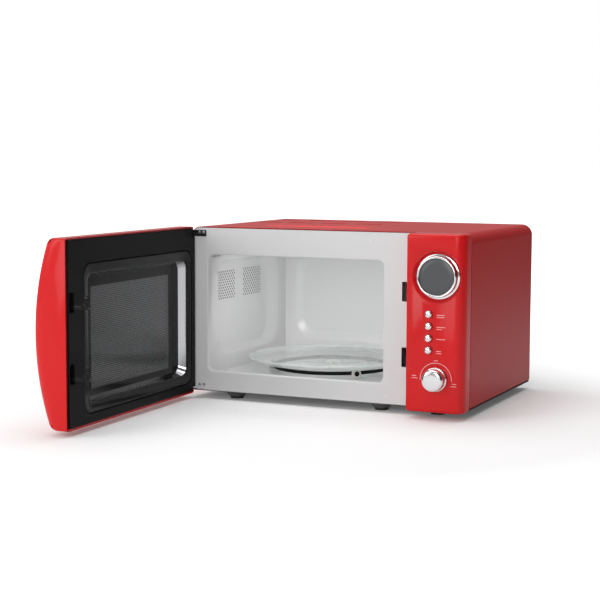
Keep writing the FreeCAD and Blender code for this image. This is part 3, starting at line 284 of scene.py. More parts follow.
def rounded_loop(bm: bmesh.types.BMesh, low: Point2, high: Point2, radius: float, height: float = 0.0,
                 steps: int = 8) -> list[bmesh.types.BMEdge]:
    """Add a closed loop with four round corners in the XY plane.

    Args:
        bm: Mesh that receives the loop.
        low: Lowest X and Y of the loop.
        high: Highest X and Y of the loop.
        radius: Corner radius.
        height: Z of the loop.
        steps: Edges in each corner.

    Returns:
        The loop's edges.
    """
    half_step = math.pi / (4 * steps)
    turn = Matrix.Rotation(half_step, 4, "Z")
    ring = bmesh.ops.create_circle(bm, cap_ends=False, segments=4 * steps,
                                   radius=radius / math.cos(half_step), matrix=turn)["verts"]
    middle = Vector(((low[0] + high[0]) / 2, (low[1] + high[1]) / 2, height))
    reach = Vector(((high[0] - low[0]) / 2 - radius, (high[1] - low[1]) / 2 - radius, 0.0))
    edges = {edge for vert in ring for edge in vert.link_edges}
    for vert in ring:
        side = Vector((math.copysign(reach.x, vert.co.x), math.copysign(reach.y, vert.co.y), 0.0))
        vert.co += side + middle
    return list(edges)


def plate(bm: bmesh.types.BMesh, loops: Sequence[list[bmesh.types.BMEdge]], thickness: float,
          matrix: Matrix) -> list[bmesh.types.BMVert]:
    """Fill flat loops, the first outside and the rest holes, and give the sheet its thickness.

    Args:
        bm: Mesh that holds the loops, drawn in the XY plane.
        loops: The outline and its holes.
        thickness: Thickness along the loops' Z.
        matrix: Where the plate goes in the cabinet.

    Returns:
        The plate's vertices.
    """
    edges = [edge for loop in loops for edge in loop]
    filled = bmesh.ops.triangle_fill(bm, use_beauty=True, use_dissolve=False, edges=edges, normal=(0, 0, 1))
    faces = [item for item in filled["geom"] if isinstance(item, bmesh.types.BMFace)]
    lifted = bmesh.ops.extrude_face_region(bm, geom=faces, use_keep_orig=True)["geom"]
    top = [item for item in lifted if isinstance(item, bmesh.types.BMVert)]
    bmesh.ops.translate(bm, verts=top, vec=(0, 0, thickness))
    verts = list({vert for face in faces for vert in face.verts} | set(top))
    bmesh.ops.transform(bm, matrix=matrix, verts=verts)
    solid = list({face for vert in verts for face in vert.link_faces})
    bmesh.ops.recalc_face_normals(bm, faces=solid)
    return verts


def block(bm: bmesh.types.BMesh, low: Point3, high: Point3) -> list[bmesh.types.BMVert]:
    """Add a box between two corners and return its vertices."""
    size = Vector(high) - Vector(low)
    middle = (Vector(high) + Vector(low)) / 2
    matrix = Matrix.Translation(middle) @ Matrix.Diagonal((*size, 1.0))
    return bmesh.ops.create_cube(bm, size=1.0, matrix=matrix)["verts"]


def soft_block(bm: bmesh.types.BMesh, low: Point3, high: Point3, radius: float,
               segments: int = 3) -> None:
    """Add a box whose edges are all rounded."""
    verts = block(bm, low, high)
    edges = list({edge for vert in verts for edge in vert.link_edges})
    bmesh.ops.bevel(bm, geom=edges, offset=radius, segments=segments, affect="EDGES", profile=0.5,
                    material=-1)


def rod(bm: bmesh.types.BMesh, matrix: Matrix, radius: float, length: float,
        steps: int = 32) -> list[bmesh.types.BMVert]:
    """Add a closed cylinder that runs along its matrix's Z from its origin."""
    raised = matrix @ Matrix.Translation((0, 0, length / 2))
    return bmesh.ops.create_cone(bm, cap_ends=True, segments=steps, radius1=radius,
                                 radius2=radius, depth=length, matrix=raised)["verts"]


def lathe(bm: bmesh.types.BMesh, profile: Sequence[Point2], matrix: Matrix, steps: int = 64,
          closed: bool = False) -> list[bmesh.types.BMVert]:
    """Spin a profile of (radius, height) points about Z.

    Args:
        bm: Mesh that receives the turned shape.
        profile: Points from one end to the other.
        matrix: Where the turned shape goes.
        steps: Steps in the full turn.
        closed: Whether the profile's ends are joined, as in a ring.

    Returns:
        The turned shape's vertices.
    """
    before = set(bm.verts)
    verts = [bm.verts.new((radius, 0.0, height)) for radius, height in profile]
    pairs = list(zip(verts, verts[1:])) + ([(verts[-1], verts[0])] if closed else [])
    edges = [bm.edges.new(pair) for pair in pairs]
    bmesh.ops.spin(bm, geom=verts + edges, cent=(0, 0, 0), axis=(0, 0, 1), angle=2 * math.pi, steps=steps,
                   use_merge=True)
    made = [vert for vert in bm.verts if vert not in before]
    bmesh.ops.remove_doubles(bm, verts=made, dist=1e-4)
    made = [vert for vert in bm.verts if vert not in before]
    bmesh.ops.transform(bm, matrix=matrix, verts=made)
    bmesh.ops.recalc_face_normals(bm, faces=list({face for vert in made for face in vert.link_faces}))
    return made


def arc(centre: Point2, radius: float, start: float, end: float, steps: int) -> list[Point2]:
    """Points on an arc between two angles in degrees."""
    angles = [math.radians(start + (end - start) * step / steps) for step in range(steps + 1)]
    return [(centre[0] + radius * math.cos(angle), centre[1] + radius * math.sin(angle)) for angle in angles]


def bridge(bm: bmesh.types.BMesh, loops: Sequence[list[bmesh.types.BMEdge]], caps: bool = False) -> None:
    """Join each loop to the next, and close the two ends when caps is true."""
    for first, second in zip(loops, loops[1:]):
        bmesh.ops.bridge_loops(bm, edges=first + second)
    if caps:
        for loop in (loops[0], loops[-1]):
            bmesh.ops.contextual_create(bm, geom=loop)
    bmesh.ops.recalc_face_normals(bm, faces=bm.faces[:])


# ------------------------------------------------------------------ pieces

@dataclass
class Piece:
    """One finished object: how it rides, what it stands for and how its edges are eased."""

    name: str
    body: str
    slot: str
    finish: Finish
    replaces: tuple[str, ...] = ()
    ease: float = 0.0
    ease_steps: int = 2
    sharp: float = SHARP_ANGLE

    def finish_mesh(self, bm: bmesh.types.BMesh, matrix: Matrix) -> bpy.types.Object:
        """Turn a bmesh in millimetres into the finished object.

        Args:
            bm: The piece, drawn in millimetres; it is freed here.
            matrix: Carries millimetres to the frame's metres.

        Returns:
            The object, riding on its body.
        """
        bmesh.ops.transform(bm, matrix=matrix, verts=bm.verts[:])
        mesh = bpy.data.meshes.new(self.name)
        bm.to_mesh(mesh)
        bm.free()
        for polygon in mesh.polygons:
            polygon.use_smooth = True
        mesh.set_sharp_from_angle(angle=math.radians(self.sharp))
        item = bpy.data.objects.new(self.name, mesh)
        bpy.context.scene.collection.objects.link(item)
        mesh.materials.append(self.finish.material())
        if self.ease:
            bevel = item.modifiers.new("eased_edges", "BEVEL")
            bevel.width = self.ease * MM
            bevel.segments = self.ease_steps
            bevel.limit_method = "ANGLE"
            bevel.angle_limit = math.radians(self.sharp)
            bevel.harden_normals = True
        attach(item, self.body)
        if self.replaces:
            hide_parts(*self.replaces)
        LOG.info("%s rides on %s", self.name, self.body)
        return item

    def fixed(self, bm: bmesh.types.BMesh) -> bpy.types.Object:
        """Finish a piece drawn on the cabinet."""
        return self.finish_mesh(bm, DATUM.fixed())

    def hung(self, bm: bmesh.types.BMesh) -> bpy.types.Object:
        """Finish a piece drawn on the shut door."""
        return self.finish_mesh(bm, DATUM.door())


def carve(item: bpy.types.Object, cutters: Iterable[Callable[[bmesh.types.BMesh], None]],
          matrix: Matrix) -> None:
    """Cut shapes out of an object and keep the result as its mesh.

    Args:
        item: Object whose mesh is cut.
        cutters: Functions that each draw one cutter in millimetres.
        matrix: Carries millimetres to the frame's metres.
    """
    for draw in cutters:
        bm = bmesh.new()
        draw(bm)
        solid_out(bm)
        bmesh.ops.transform(bm, matrix=matrix, verts=bm.verts[:])
        mesh = bpy.data.meshes.new("cutter")
        bm.to_mesh(mesh)
        bm.free()
        cutter = bpy.data.objects.new("cutter", mesh)
        bpy.context.scene.collection.objects.link(cutter)
        boolean = item.modifiers.new("cut", "BOOLEAN")
        boolean.operation = "DIFFERENCE"
        boolean.solver = "MANIFOLD"
        boolean.object = cutter
        graph = bpy.context.evaluated_depsgraph_get()
        cut = bpy.data.meshes.new_from_object(item.evaluated_get(graph))
        item.modifiers.remove(boolean)
        item.data = cut
        bpy.data.objects.remove(cutter)
    item.data.set_sharp_from_angle(angle=math.radians(SHARP_ANGLE))


# ------------------------------------------------------------------ cabinet

@dataclass
class Cabinet:
    """Folded cover, front sheet and the sheet of painted shade under the vents."""

    width: float = 440.0
    top: float = 258.0
    low: float = 14.5
    front: float = 2.0
    back: float = 302.0
    radius: float = 16.0
    gauge: float = 0.8
    vent: Point2 = (45.0, 11.0)
    vent_first: float = 39.5
    vent_pitch: float = 58.0
    vent_rows: Point2 = (185.0, 265.0)
    sheet_low: Point2 = (3.0, 12.6)
    sheet_high: Point2 = (437.0, 256.5)
    aperture_low: Point2 = (29.6, 41.2)
    aperture_high: Point2 = (310.5, 216.9)
    slot_x: Point2 = (338.5, 347.5)
    slot_lows: Point2 = (160.0, 67.0)
    slot_height: float = 28.0
    pips: tuple[Point2, Point2] = ((291.5, 245.0), (315.4, 23.4))

    def build(self) -> None:
        """Build the cabinet's pieces."""
        self.cover()
        self.front_sheet()
        self.shade_under_vents()

    def shade_under_vents(self) -> None:
        """Build the black sheet under the vents: painted shade that makes the vent slots read dark."""
        bm = bmesh.new()
        # Painted shade: a black sheet under the vent slots where there is only shade.
        block(bm, (self.vent_first - 26.0, self.vent_rows[0] - 10.0, self.top - 6.0),
              (self.vent_first + 200.0, self.vent_rows[1] + 10.0, self.top - 5.4))
        Piece("vent_shade_sheet", "cabinet", "black_plastic", BASE_BLACK).fixed(bm)

    def cover(self) -> None:
        """Build the cover: a flat top with round-ended vents, two folds and two sides."""
        bm = bmesh.new()
        left, right = self.radius, self.width - self.radius
        self.strip(bm, left, self.vent_first + self.vent_pitch * 3.5, 4)
        self.strip(bm, self.vent_first + self.vent_pitch * 3.5, right, 0)
        bmesh.ops.translate(bm, verts=bm.verts[:], vec=(0, 0, self.top))
        bmesh.ops.remove_doubles(bm, verts=bm.verts[:], dist=0.05)
        for x, sign in ((left, 1.0), (right, -1.0)):
            rim = [vert for vert in bm.verts if abs(vert.co.x - x) < 0.05 and abs(vert.co.z - self.top) < 1e-3]
            edge = next(edge for edge in bm.edges if all(vert in rim for vert in edge.verts))
            spun = bmesh.ops.spin(bm, geom=[*edge.verts, edge], cent=(x, 0, self.top - self.radius),
                                  axis=(0, -sign, 0), angle=math.pi / 2, steps=10)["geom_last"]
            last = [part for part in spun if isinstance(part, bmesh.types.BMEdge)]
            side = bmesh.ops.extrude_edge_only(bm, edges=last)["geom"]
            lowered = [part for part in side if isinstance(part, bmesh.types.BMVert)]
            for vert in lowered:
                vert.co.z = self.low
        bmesh.ops.remove_doubles(bm, verts=bm.verts[:], dist=1e-3)
        bmesh.ops.recalc_face_normals(bm, faces=bm.faces[:])
        upward = max(bm.faces, key=lambda face: face.calc_center_median().z)
        if upward.normal.z < 0:
            bmesh.ops.reverse_faces(bm, faces=bm.faces[:])
        bmesh.ops.solidify(bm, geom=bm.faces[:], thickness=self.gauge)
        Piece("cabinet_cover", "cabinet", "red_paint", RED_ENAMEL, ("cabinet_wrapper",)).fixed(bm)

    def strip(self, bm: bmesh.types.BMesh, start: float, end: float, columns: int) -> None:
        """Add a flat strip of the top between two X, with that many columns of vents from the left."""
        loops = [rounded_loop(bm, (start, self.front), (end, self.back), 0.01, steps=1)]
        for row in self.vent_rows:
            for column in range(columns):
                centre = self.vent_first + column * self.vent_pitch
                low = (centre - self.vent[0] / 2, row - self.vent[1] / 2)
                high = (centre + self.vent[0] / 2, row + self.vent[1] / 2)
                loops.append(rounded_loop(bm, low, high, self.vent[1] / 2 - 0.25, steps=4))
        edges = [edge for loop in loops for edge in loop]
        bmesh.ops.triangle_fill(bm, use_beauty=False, use_dissolve=False, edges=edges, normal=(0, 0, 1))

    def front_sheet(self) -> None:
        """Build the front sheet, its aperture turned back in a soft lip, and its slots."""
        bm = bmesh.new()
        outer = rounded_loop(bm, self.sheet_low, self.sheet_high, 12.0)
        aperture = self.around_aperture(bm, 1.5, 0.0)
        slots = [rounded_loop(bm, (self.slot_x[0], low), (self.slot_x[1], low + self.slot_height), 1.5, steps=4)
                 for low in self.slot_lows]
        window = rounded_loop(bm, (366.0, 30.0), (430.0, 238.0), 6.0)
        plate(bm, [outer, aperture, *slots, window], 1.0, at(0.0, 1.0, 0.0, FACE_FRONT))
        lips = [self.around_aperture(bm, margin, -back - 0.02) for margin, back in (
            (1.5, 0.0), (0.9, 0.15), (0.4, 0.5), (0.1, 1.0), (0.0, 1.6), (0.0, 9.0))]
        verts = {vert for loop in lips for edge in loop for vert in edge.verts}
        bmesh.ops.transform(bm, matrix=FACE_FRONT, verts=list(verts))
        for first, second in zip(lips, lips[1:]):
            bmesh.ops.bridge_loops(bm, edges=first + second)
        bmesh.ops.recalc_face_normals(bm, faces=bm.faces[:])
        Piece("front_sheet", "cabinet", "grey_paint", PRESSED_GREY, ("cavity_front_plate",)).fixed(bm)
        dots = bmesh.new()
        for x, z in self.pips:
            lathe(dots, [(1.7, 0.0), (1.5, 0.5), (0.8, 0.9), (0.0, 1.0)], at(x, 0.0, z, FACE_FRONT), steps=16)
        Piece("locating_pips", "cabinet", "white_plastic", WHITE_MOULDING).fixed(dots)

    def around_aperture(self, bm: bmesh.types.BMesh, margin: float, height: float) -> list[bmesh.types.BMEdge]:
        """Add a loop that stands off the aperture by a margin."""
        low = (self.aperture_low[0] - margin, self.aperture_low[1] - margin)
        high = (self.aperture_high[0] + margin, self.aperture_high[1] + margin)
        return rounded_loop(bm, low, high, 9.0 + margin, height=height, steps=10)


@dataclass(frozen=True)
class Grille:
    """A staggered field of round holes: its first hole and its counts along and up."""

    first: Point2
    along: int
    up: int
    pitch: Point2 = (6.9, 4.1)
    radius: float = 1.75

    def loops(self, bm: bmesh.types.BMesh, depth: float) -> list[list[bmesh.types.BMEdge]]:
        """Add one loop for each hole at a height of the drawing and return them."""
        loops = []
        for row in range(self.up):
            for column in range(self.along):
                shift = self.pitch[0] / 2 if row % 2 else 0.0
                centre = (self.first[0] + column * self.pitch[0] + shift, self.first[1] + row * self.pitch[1])
                ring = bmesh.ops.create_circle(bm, cap_ends=False, segments=8, radius=self.radius,
                                               matrix=Matrix.Translation((*centre, depth)))["verts"]
                loops.append(list({edge for vert in ring for edge in vert.link_edges}))
        return loops


@dataclass(frozen=True)
class Wall:
    """A flat sheet with one pressed panel, drawn in its own XY plane and pressed towards -Z.

    The slopes are the widths of the pressed edge at its near and far ends, and at top and bottom.
    """

    low: Point2
    high: Point2
    panel_low: Point2
    panel_high: Point2
    radius: float
    slopes: tuple[float, float, float]
    depth: float
    rim_grilles: tuple[Grille, ...] = ()
    panel_grilles: tuple[Grille, ...] = ()
    steps: int = 6

    def draw(self, bm: bmesh.types.BMesh, matrix: Matrix, gauge: float = 0.6) -> None:
        """Draw the wall and carry it into place.

        Args:
            bm: Mesh that receives the wall.
            matrix: Where the wall stands; its own +Z looks into the cavity.
            gauge: Thickness of the sheet, laid behind the drawn face.
        """
        before = set(bm.verts)
        outline = rounded_loop(bm, self.low, self.high, HIDDEN_CORNER, steps=1)
        rims = []
        for step in range(self.steps + 1):
            share = step / self.steps
            near, far, upright = (slope * share for slope in self.slopes)
            drop = self.depth * (1 - math.cos(math.pi * share)) / 2
            low = (self.panel_low[0] + near, self.panel_low[1] + upright)
            high = (self.panel_high[0] - far, self.panel_high[1] - upright)
            rims.append(rounded_loop(bm, low, high, self.radius - upright * 0.5, height=-drop, steps=10))
        holes = [loop for grille in self.rim_grilles for loop in grille.loops(bm, 0.0)]
        self.fill(bm, [outline, rims[0], *holes])
        for first, second in zip(rims, rims[1:]):
            bmesh.ops.bridge_loops(bm, edges=first + second)
        holes = [loop for grille in self.panel_grilles for loop in grille.loops(bm, -self.depth)]
        self.fill(bm, [rims[-1], *holes])
        made = [vert for vert in bm.verts if vert not in before]
        faces = list({face for vert in made for face in vert.link_faces})
        bmesh.ops.recalc_face_normals(bm, faces=faces)
        if sum(face.normal.z * face.calc_area() for face in faces) < 0:
            bmesh.ops.reverse_faces(bm, faces=faces)
        bmesh.ops.solidify(bm, geom=faces, thickness=gauge)
        made = [vert for vert in bm.verts if vert not in before]
        bmesh.ops.transform(bm, matrix=matrix, verts=made)

    def fill(self, bm: bmesh.types.BMesh, loops: Sequence[list[bmesh.types.BMEdge]]) -> None:
        """Fill between loops that lie in one plane."""
        edges = [edge for loop in loops for edge in loop]
        bmesh.ops.triangle_fill(bm, use_beauty=True, use_dissolve=False, edges=edges, normal=(0, 0, 1))


@dataclass
class Cavity:
    """Cooking space: walls with pressed panels, punched light grilles, and the floor."""

    left: float = 22.0
    right: float = 318.0
    front: float = 1.2
    back: float = 288.0
    floor: float = 33.0
    roof: float = 224.0
    spindle: Point2 = (169.0, 147.0)
    side_panel: tuple[Point2, Point2] = ((46.0, 56.0), (264.0, 207.0))
    rear_panel: tuple[Point2, Point2] = ((40.0, 58.0), (300.0, 208.0))
    roof_panel: tuple[Point2, Point2] = ((50.0, -260.0), (290.0, -30.0))
    plain_slopes: Point3 = (9.0, 9.0, 9.0)
    shallow: float = 2.0

    def build(self) -> None:
        """Build the walls, the black sheet of painted shade behind the grilles and the floor."""
        self.walls()
        self.shade_behind_grilles()
        self.base()

    def walls(self) -> None:
        """Build the left, back and right walls and the roof."""
        bm = bmesh.new()
        side_low, side_high = (self.front, self.floor), (self.back, self.roof)
        side = Wall(side_low, side_high, *self.side_panel, 34.0, (4.0, 36.0, 12.0), 10.0,
                    rim_grilles=(Grille((17.0, 211.6), 6, 2),),
                    panel_grilles=(Grille((62.0, 143.0), 9, 11), Grille((152.5, 143.0), 9, 11)))
        side.draw(bm, at(self.left, 0.0, 0.0, FACE_RIGHT))
        rear = Wall((self.left, self.floor), (self.right, self.roof), *self.rear_panel, 34.0,
                    (15.0, 15.0, 15.0), 6.0)
        rear.draw(bm, at(0.0, self.back, 0.0, FACE_FRONT))
        face_left = Matrix.Scale(-1.0, 4, (1.0, 0.0, 0.0)) @ FACE_RIGHT
        Wall(side_low, side_high, *self.side_panel, 34.0, self.plain_slopes, self.shallow).draw(
            bm, at(self.right, 0.0, 0.0, face_left))
        upside = Matrix.Rotation(math.pi, 4, "X")
        Wall((self.left, -self.back), (self.right, -self.front), *self.roof_panel, 30.0,
             self.plain_slopes, self.shallow).draw(bm, at(0.0, 0.0, self.roof, upside))
        bmesh.ops.recalc_face_normals(bm, faces=bm.faces[:])
        Piece("cavity_liner", "cabinet", "grey_paint", CAVITY_GREY, ("cavity_shell", "cavity_rear")).fixed(bm)

    def shade_behind_grilles(self) -> None:
        """Build the black sheet behind the grilles: painted shade that makes the holes read dark."""
        bm = bmesh.new()
        # Painted shade: a thin black sheet behind the grille holes where there is only shade.
        block(bm, (self.left - 17.0, 10.0, 134.0), (self.left - 16.4, 236.0, 222.5))
        Piece("grille_shade_sheet", "cabinet", "black_plastic", BASE_BLACK).fixed(bm)

    def base(self) -> None:
        """Build the floor, with the roller track pressed into it."""
        bm = bmesh.new()
        outline = rounded_loop(bm, (self.left, self.front), (self.right, self.back), HIDDEN_CORNER, steps=1)
        rings = []
        for radius, height in ((112.0, 0.0), (110.0, -0.2), (107.0, -0.7), (84.0, -0.7), (80.0, 0.0), (20.0, 0.0),
                               (16.0, 0.6), (9.0, 0.6), (8.6, -1.4)):
            ring = bmesh.ops.create_circle(bm, cap_ends=False, segments=64, radius=radius,
                                           matrix=Matrix.Translation((*self.spindle, height)))["verts"]
            rings.append(list({edge for vert in ring for edge in vert.link_edges}))
        bmesh.ops.triangle_fill(bm, use_beauty=True, use_dissolve=False, edges=outline + rings[0],
                                normal=(0, 0, 1))
        for first, second in zip(rings, rings[1:]):
            bmesh.ops.bridge_loops(bm, edges=first + second)
        normals_out(bm, Vector((0.0, 0.0, 1.0)))
        bmesh.ops.solidify(bm, geom=bm.faces[:], thickness=0.6)
        bmesh.ops.translate(bm, verts=bm.verts[:], vec=(0, 0, self.floor))
        Piece("cavity_base", "cabinet", "grey_paint", CAVITY_GREY, ("cavity_floor",)).fixed(bm)


# ------------------------------------------------------------------ turntable

@dataclass
class Turntable:
    """Glass tray, roller ring and rollers on the spindle's axis."""

    x: float = 169.0
    y: float = 147.0
    tray_low: float = 47.6
    tray_high: float = 56.5
    tray_radius: float = 130.0
    ring_radius: float = 90.0
    track: float = 97.0
    roller: float = 7.1
    first_roller: float = -45.0
    axle: float = 1.5
    lug: Point3 = (15.0, 3.0, 4.0)
    floor: float = 33.0

    def build(self) -> None:
        """Build the tray, the ring and the three rollers."""
        self.tray()
        self.ring()
        for number in range(3):
            self.wheel(number)

    def tray(self) -> None:
        """Build the tray: flat glass with a raised hub ring and a curved rim."""
        bm = bmesh.new()
        rim, thick = self.tray_radius, 4.0
        height = self.tray_high - self.tray_low
        under = [(0.0, 0.0), (30.0, 0.0), (60.0, 0.0), (rim - 22.0, 0.0), (rim - 12.0, 0.4), (rim - 6.0, 2.0),
                 (rim - 2.0, 4.6), (rim, height - 1.6)]
        lip = arc((rim - 1.6, height - 1.5), 1.6, 0.0, 180.0, 6)[1:]
        over = [(rim - 5.4, 5.6), (rim - 9.0, 4.4 + 0.4), (rim - 15.0, thick), (rim - 24.0, thick - 0.2),
                (70.0, thick - 0.2), (68.5, thick + 0.25), (67.0, thick - 0.2), (22.0, thick - 0.2),
                (20.5, thick + 0.3), (19.0, thick - 0.2), (0.0, thick - 0.2)]
        lathe(bm, under + lip + over, at(self.x, self.y, self.tray_low), steps=96)
        for number in range(3):
            angle = math.radians(60.0 + 120.0 * number)
            reach, radius, drop = self.lug
            rod(bm, at(self.x + reach * math.cos(angle), self.y + reach * math.sin(angle), self.tray_low - drop),
                radius, drop)
        Piece("turntable_tray", "tray", "tray_glass", CLEAR_GLASS, ("glass_tray",), sharp=50.0).fixed(bm)

    def ring(self) -> None:
        """Build the ring that carries the rollers, with a clip over each axle."""
        bm = bmesh.new()
        centre = self.floor + self.roller
        inner, outer = self.ring_radius - 2.0, self.ring_radius + 2.0
        lathe(bm, [(inner, -2.5), (outer, -2.5), (outer, 2.5), (inner, 2.5)], at(self.x, self.y, centre),
              steps=96, closed=True)
        for number in range(3):
            out = self.outward(number)
            rod(bm, out @ at(self.ring_radius, 0, 0, FACE_RIGHT), self.axle, 11.5, steps=20)
            rod(bm, out @ at(99.3, 0, 0, FACE_RIGHT), 3.9, 0.9, steps=24)
            verts = block(bm, (87.0, -5.0, -2.5), (93.6, 5.0, 2.9))
            bmesh.ops.transform(bm, matrix=out, verts=verts)
        Piece("roller_carrier", "ring", "black_plastic", BLACK_SATIN, ("roller_ring",), ease=0.5).fixed(bm)

    def outward(self, number: int) -> Matrix:
        """Matrix whose X runs out along a roller's axle from the spindle."""
        turn = Matrix.Rotation(math.radians(120.0 * number + self.first_roller), 4, "Z")
        return at(self.x, self.y, self.floor + self.roller) @ turn

    def wheel(self, number: int) -> None:
        """Build one roller: a rounded tread with a hollow face and a hub."""
        bm = bmesh.new()
        profile = [(1.56, 0.2), (2.8, 0.2), (3.2, 1.2), (5.6, 1.2), (6.0, 0.2), (6.6, 0.3), (7.1, 1.0),
                   (7.1, 4.0), (6.6, 4.7), (6.0, 4.8), (5.6, 3.8), (3.2, 3.8), (2.8, 4.8), (1.56, 4.8)]
        lathe(bm, profile, self.outward(number) @ at(self.track - 2.5, 0, 0, FACE_RIGHT), steps=40,
              closed=True)
        letter = "abc"[number]
        Piece("roller_wheel_%d" % (number + 1), "roller_" + letter, "white_plastic", WHITE_MOULDING,
              ("roller_%d" % (number + 1),), sharp=50.0).fixed(bm)


# ------------------------------------------------------------------ controls

@dataclass
class ControlPanel:
    """Moulded panel with display, push buttons, knob and printed marks."""

    left: float = 356.0
    right: float = 440.0
    front: float = -30.0
    low: float = 10.0
    high: float = 258.0
    display: Point2 = (401.0, 199.3)
    button_x: float = 389.5
    button_top: float = 147.6
    button_pitch: float = 16.7
    knob: Point2 = (400.5, 57.5)
    button_hole: float = 5.9
    shaft_hole: float = 4.0
    hole_depth: float = 14.0
    dash_height: float = 0.75
    dash_left: float = 11.5
    dash_pitch: float = 2.9
    dash_widths: tuple[tuple[float, ...], ...] = ((11.5, 11.0), (12.5, 7.5), (12.5,), (7.0, 7.5))
    scale_radii: Point2 = (22.4, 23.1)
    scale_ends: Point2 = (-5.0, 185.0)

    def build(self) -> None:
        """Build every piece of the panel."""
        self.moulding()
        self.display_parts()
        for number in range(4):
            self.push_button(number)
        self.selector()
        self.marks()

    def moulding(self) -> None:
        """Build the panel: a block with a wide round right edge, then its seat and holes."""
        bm = bmesh.new()
        block(bm, (self.left, self.front, self.low), (self.right, -0.2, self.high))
        for x, radius, steps in ((self.right, 15.0, 10), (self.left, 3.0, 4)):
            upright = [edge for edge in bm.edges
                       if all(abs(vert.co.x - x) < 1e-3 and vert.co.y < self.front + 1e-3 for vert in edge.verts)
                       and abs(edge.verts[0].co.z - edge.verts[1].co.z) > 50]
            bmesh.ops.bevel(bm, geom=upright, offset=radius, segments=steps, affect="EDGES", profile=0.5,
                            material=-1)
        rim = [edge for edge in bm.edges if abs(edge.verts[0].co.z - edge.verts[1].co.z) < 1e-3
               and min(vert.co.y for vert in edge.verts) < -1.0]
        bmesh.ops.bevel(bm, geom=rim, offset=5.0, segments=6, affect="EDGES", profile=0.5, material=-1)
        item = Piece("panel_moulding", "cabinet", "red_plastic", RED_PLASTIC, ("control_panel",)).fixed(bm)
        carve(item, [self.seat, self.button_holes], DATUM.fixed())

    def seat(self, bm: bmesh.types.BMesh) -> None:
        """Draw the flared seat of the display."""
        profile = [(0.0, 3.0), (38.2, 3.0), (38.0, 0.6), (36.6, -0.3), (35.2, -1.4), (34.2, -4.0),
                   (34.0, -6.0), (0.0, -6.0)]
        lathe(bm, profile, at(self.display[0], self.front, self.display[1], FACE_FRONT), steps=72)

    def button_holes(self, bm: bmesh.types.BMesh) -> None:
        """Draw the four button holes and the hole of the knob's shaft."""
        for number in range(4):
            rod(bm, at(self.button_x, self.front + 9.0, self.button_z(number), FACE_FRONT),
                self.button_hole, self.hole_depth, steps=40)
        rod(bm, at(self.knob[0], self.front + 9.0, self.knob[1], FACE_FRONT),
            self.shaft_hole, self.hole_depth, steps=32)

    def button_z(self, number: int) -> float:
        """Height of a button's centre."""
        return self.button_top - number * self.button_pitch

    def display_parts(self) -> None:
        """Build the chrome bezel, with its lower flange, and the smoked lens."""
        place = at(self.display[0], self.front + 5.9, self.display[1], FACE_FRONT)
        bezel = bmesh.new()
        lathe(bezel, [(25.2, 0.0), (31.4, 0.0), (31.8, 0.6), (31.8, 1.6), (31.2, 2.3), (30.2, 2.6), (29.0, 2.6),
                      (28.7, 3.0), (28.7, 10.0), (28.5, 10.9), (27.9, 11.5), (27.1, 11.7), (26.3, 11.5),
                      (25.5, 10.8), (25.2, 9.6)], place, steps=96, closed=True)
        Piece("display_ring", "cabinet", "chrome", CHROME, ("display_bezel",), sharp=50.0).fixed(bezel)
        lens = bmesh.new()
        lathe(lens, [(0.0, 2.0), (25.0, 2.0), (25.0, 8.6), (24.2, 9.1), (18.0, 9.6), (9.0, 9.9), (0.0, 10.0)],
              place, steps=96)
        Piece("display_window", "cabinet", "dark_lens", SMOKED_LENS, ("display_lens",), sharp=50.0).fixed(lens)

    def push_button(self, number: int) -> None:
        """Build one domed push button."""
        bm = bmesh.new()
        profile = [(0.0, 2.0), (6.4, 2.0), (6.4, 3.0), (5.4, 3.2), (5.4, 10.6), (5.1, 11.8), (4.3, 12.8),
                   (3.0, 13.5), (1.5, 13.9), (0.0, 14.0)]
        lathe(bm, profile, at(self.button_x, self.front + 8.3, self.button_z(number), FACE_FRONT), steps=48)
        Piece("push_button_%d" % (number + 1), "push_%d" % (number + 1), "chrome", SATIN_CHROME,
              ("button_%d" % (number + 1),), sharp=60.0).fixed(bm)

    def selector(self) -> None:
        """Build the knob: a drum with a round shoulder, a fine groove and a dished face."""
        bm = bmesh.new()
        profile = [(0.0, 0.0), (15.6, 0.0), (16.6, 0.6), (17.0, 1.6), (17.0, 3.6), (16.4, 4.2), (15.6, 4.5),
                   (15.4, 5.2), (15.6, 12.6), (15.5, 14.4), (14.8, 16.0), (13.4, 17.2), (11.4, 17.8),
                   (6.0, 17.95), (0.0, 18.0)]
        lathe(bm, profile, at(self.knob[0], self.front - 0.6, self.knob[1], FACE_FRONT), steps=96)
        Piece("selector_dial", "knob", "chrome", SATIN_CHROME, ("selector_knob",), sharp=50.0).fixed(bm)

    def marks(self) -> None:
        """Build the printed marks: plain dashes by the buttons and an arc round the knob."""
        bm = bmesh.new()
        thick, face = 0.06, self.front - 0.02

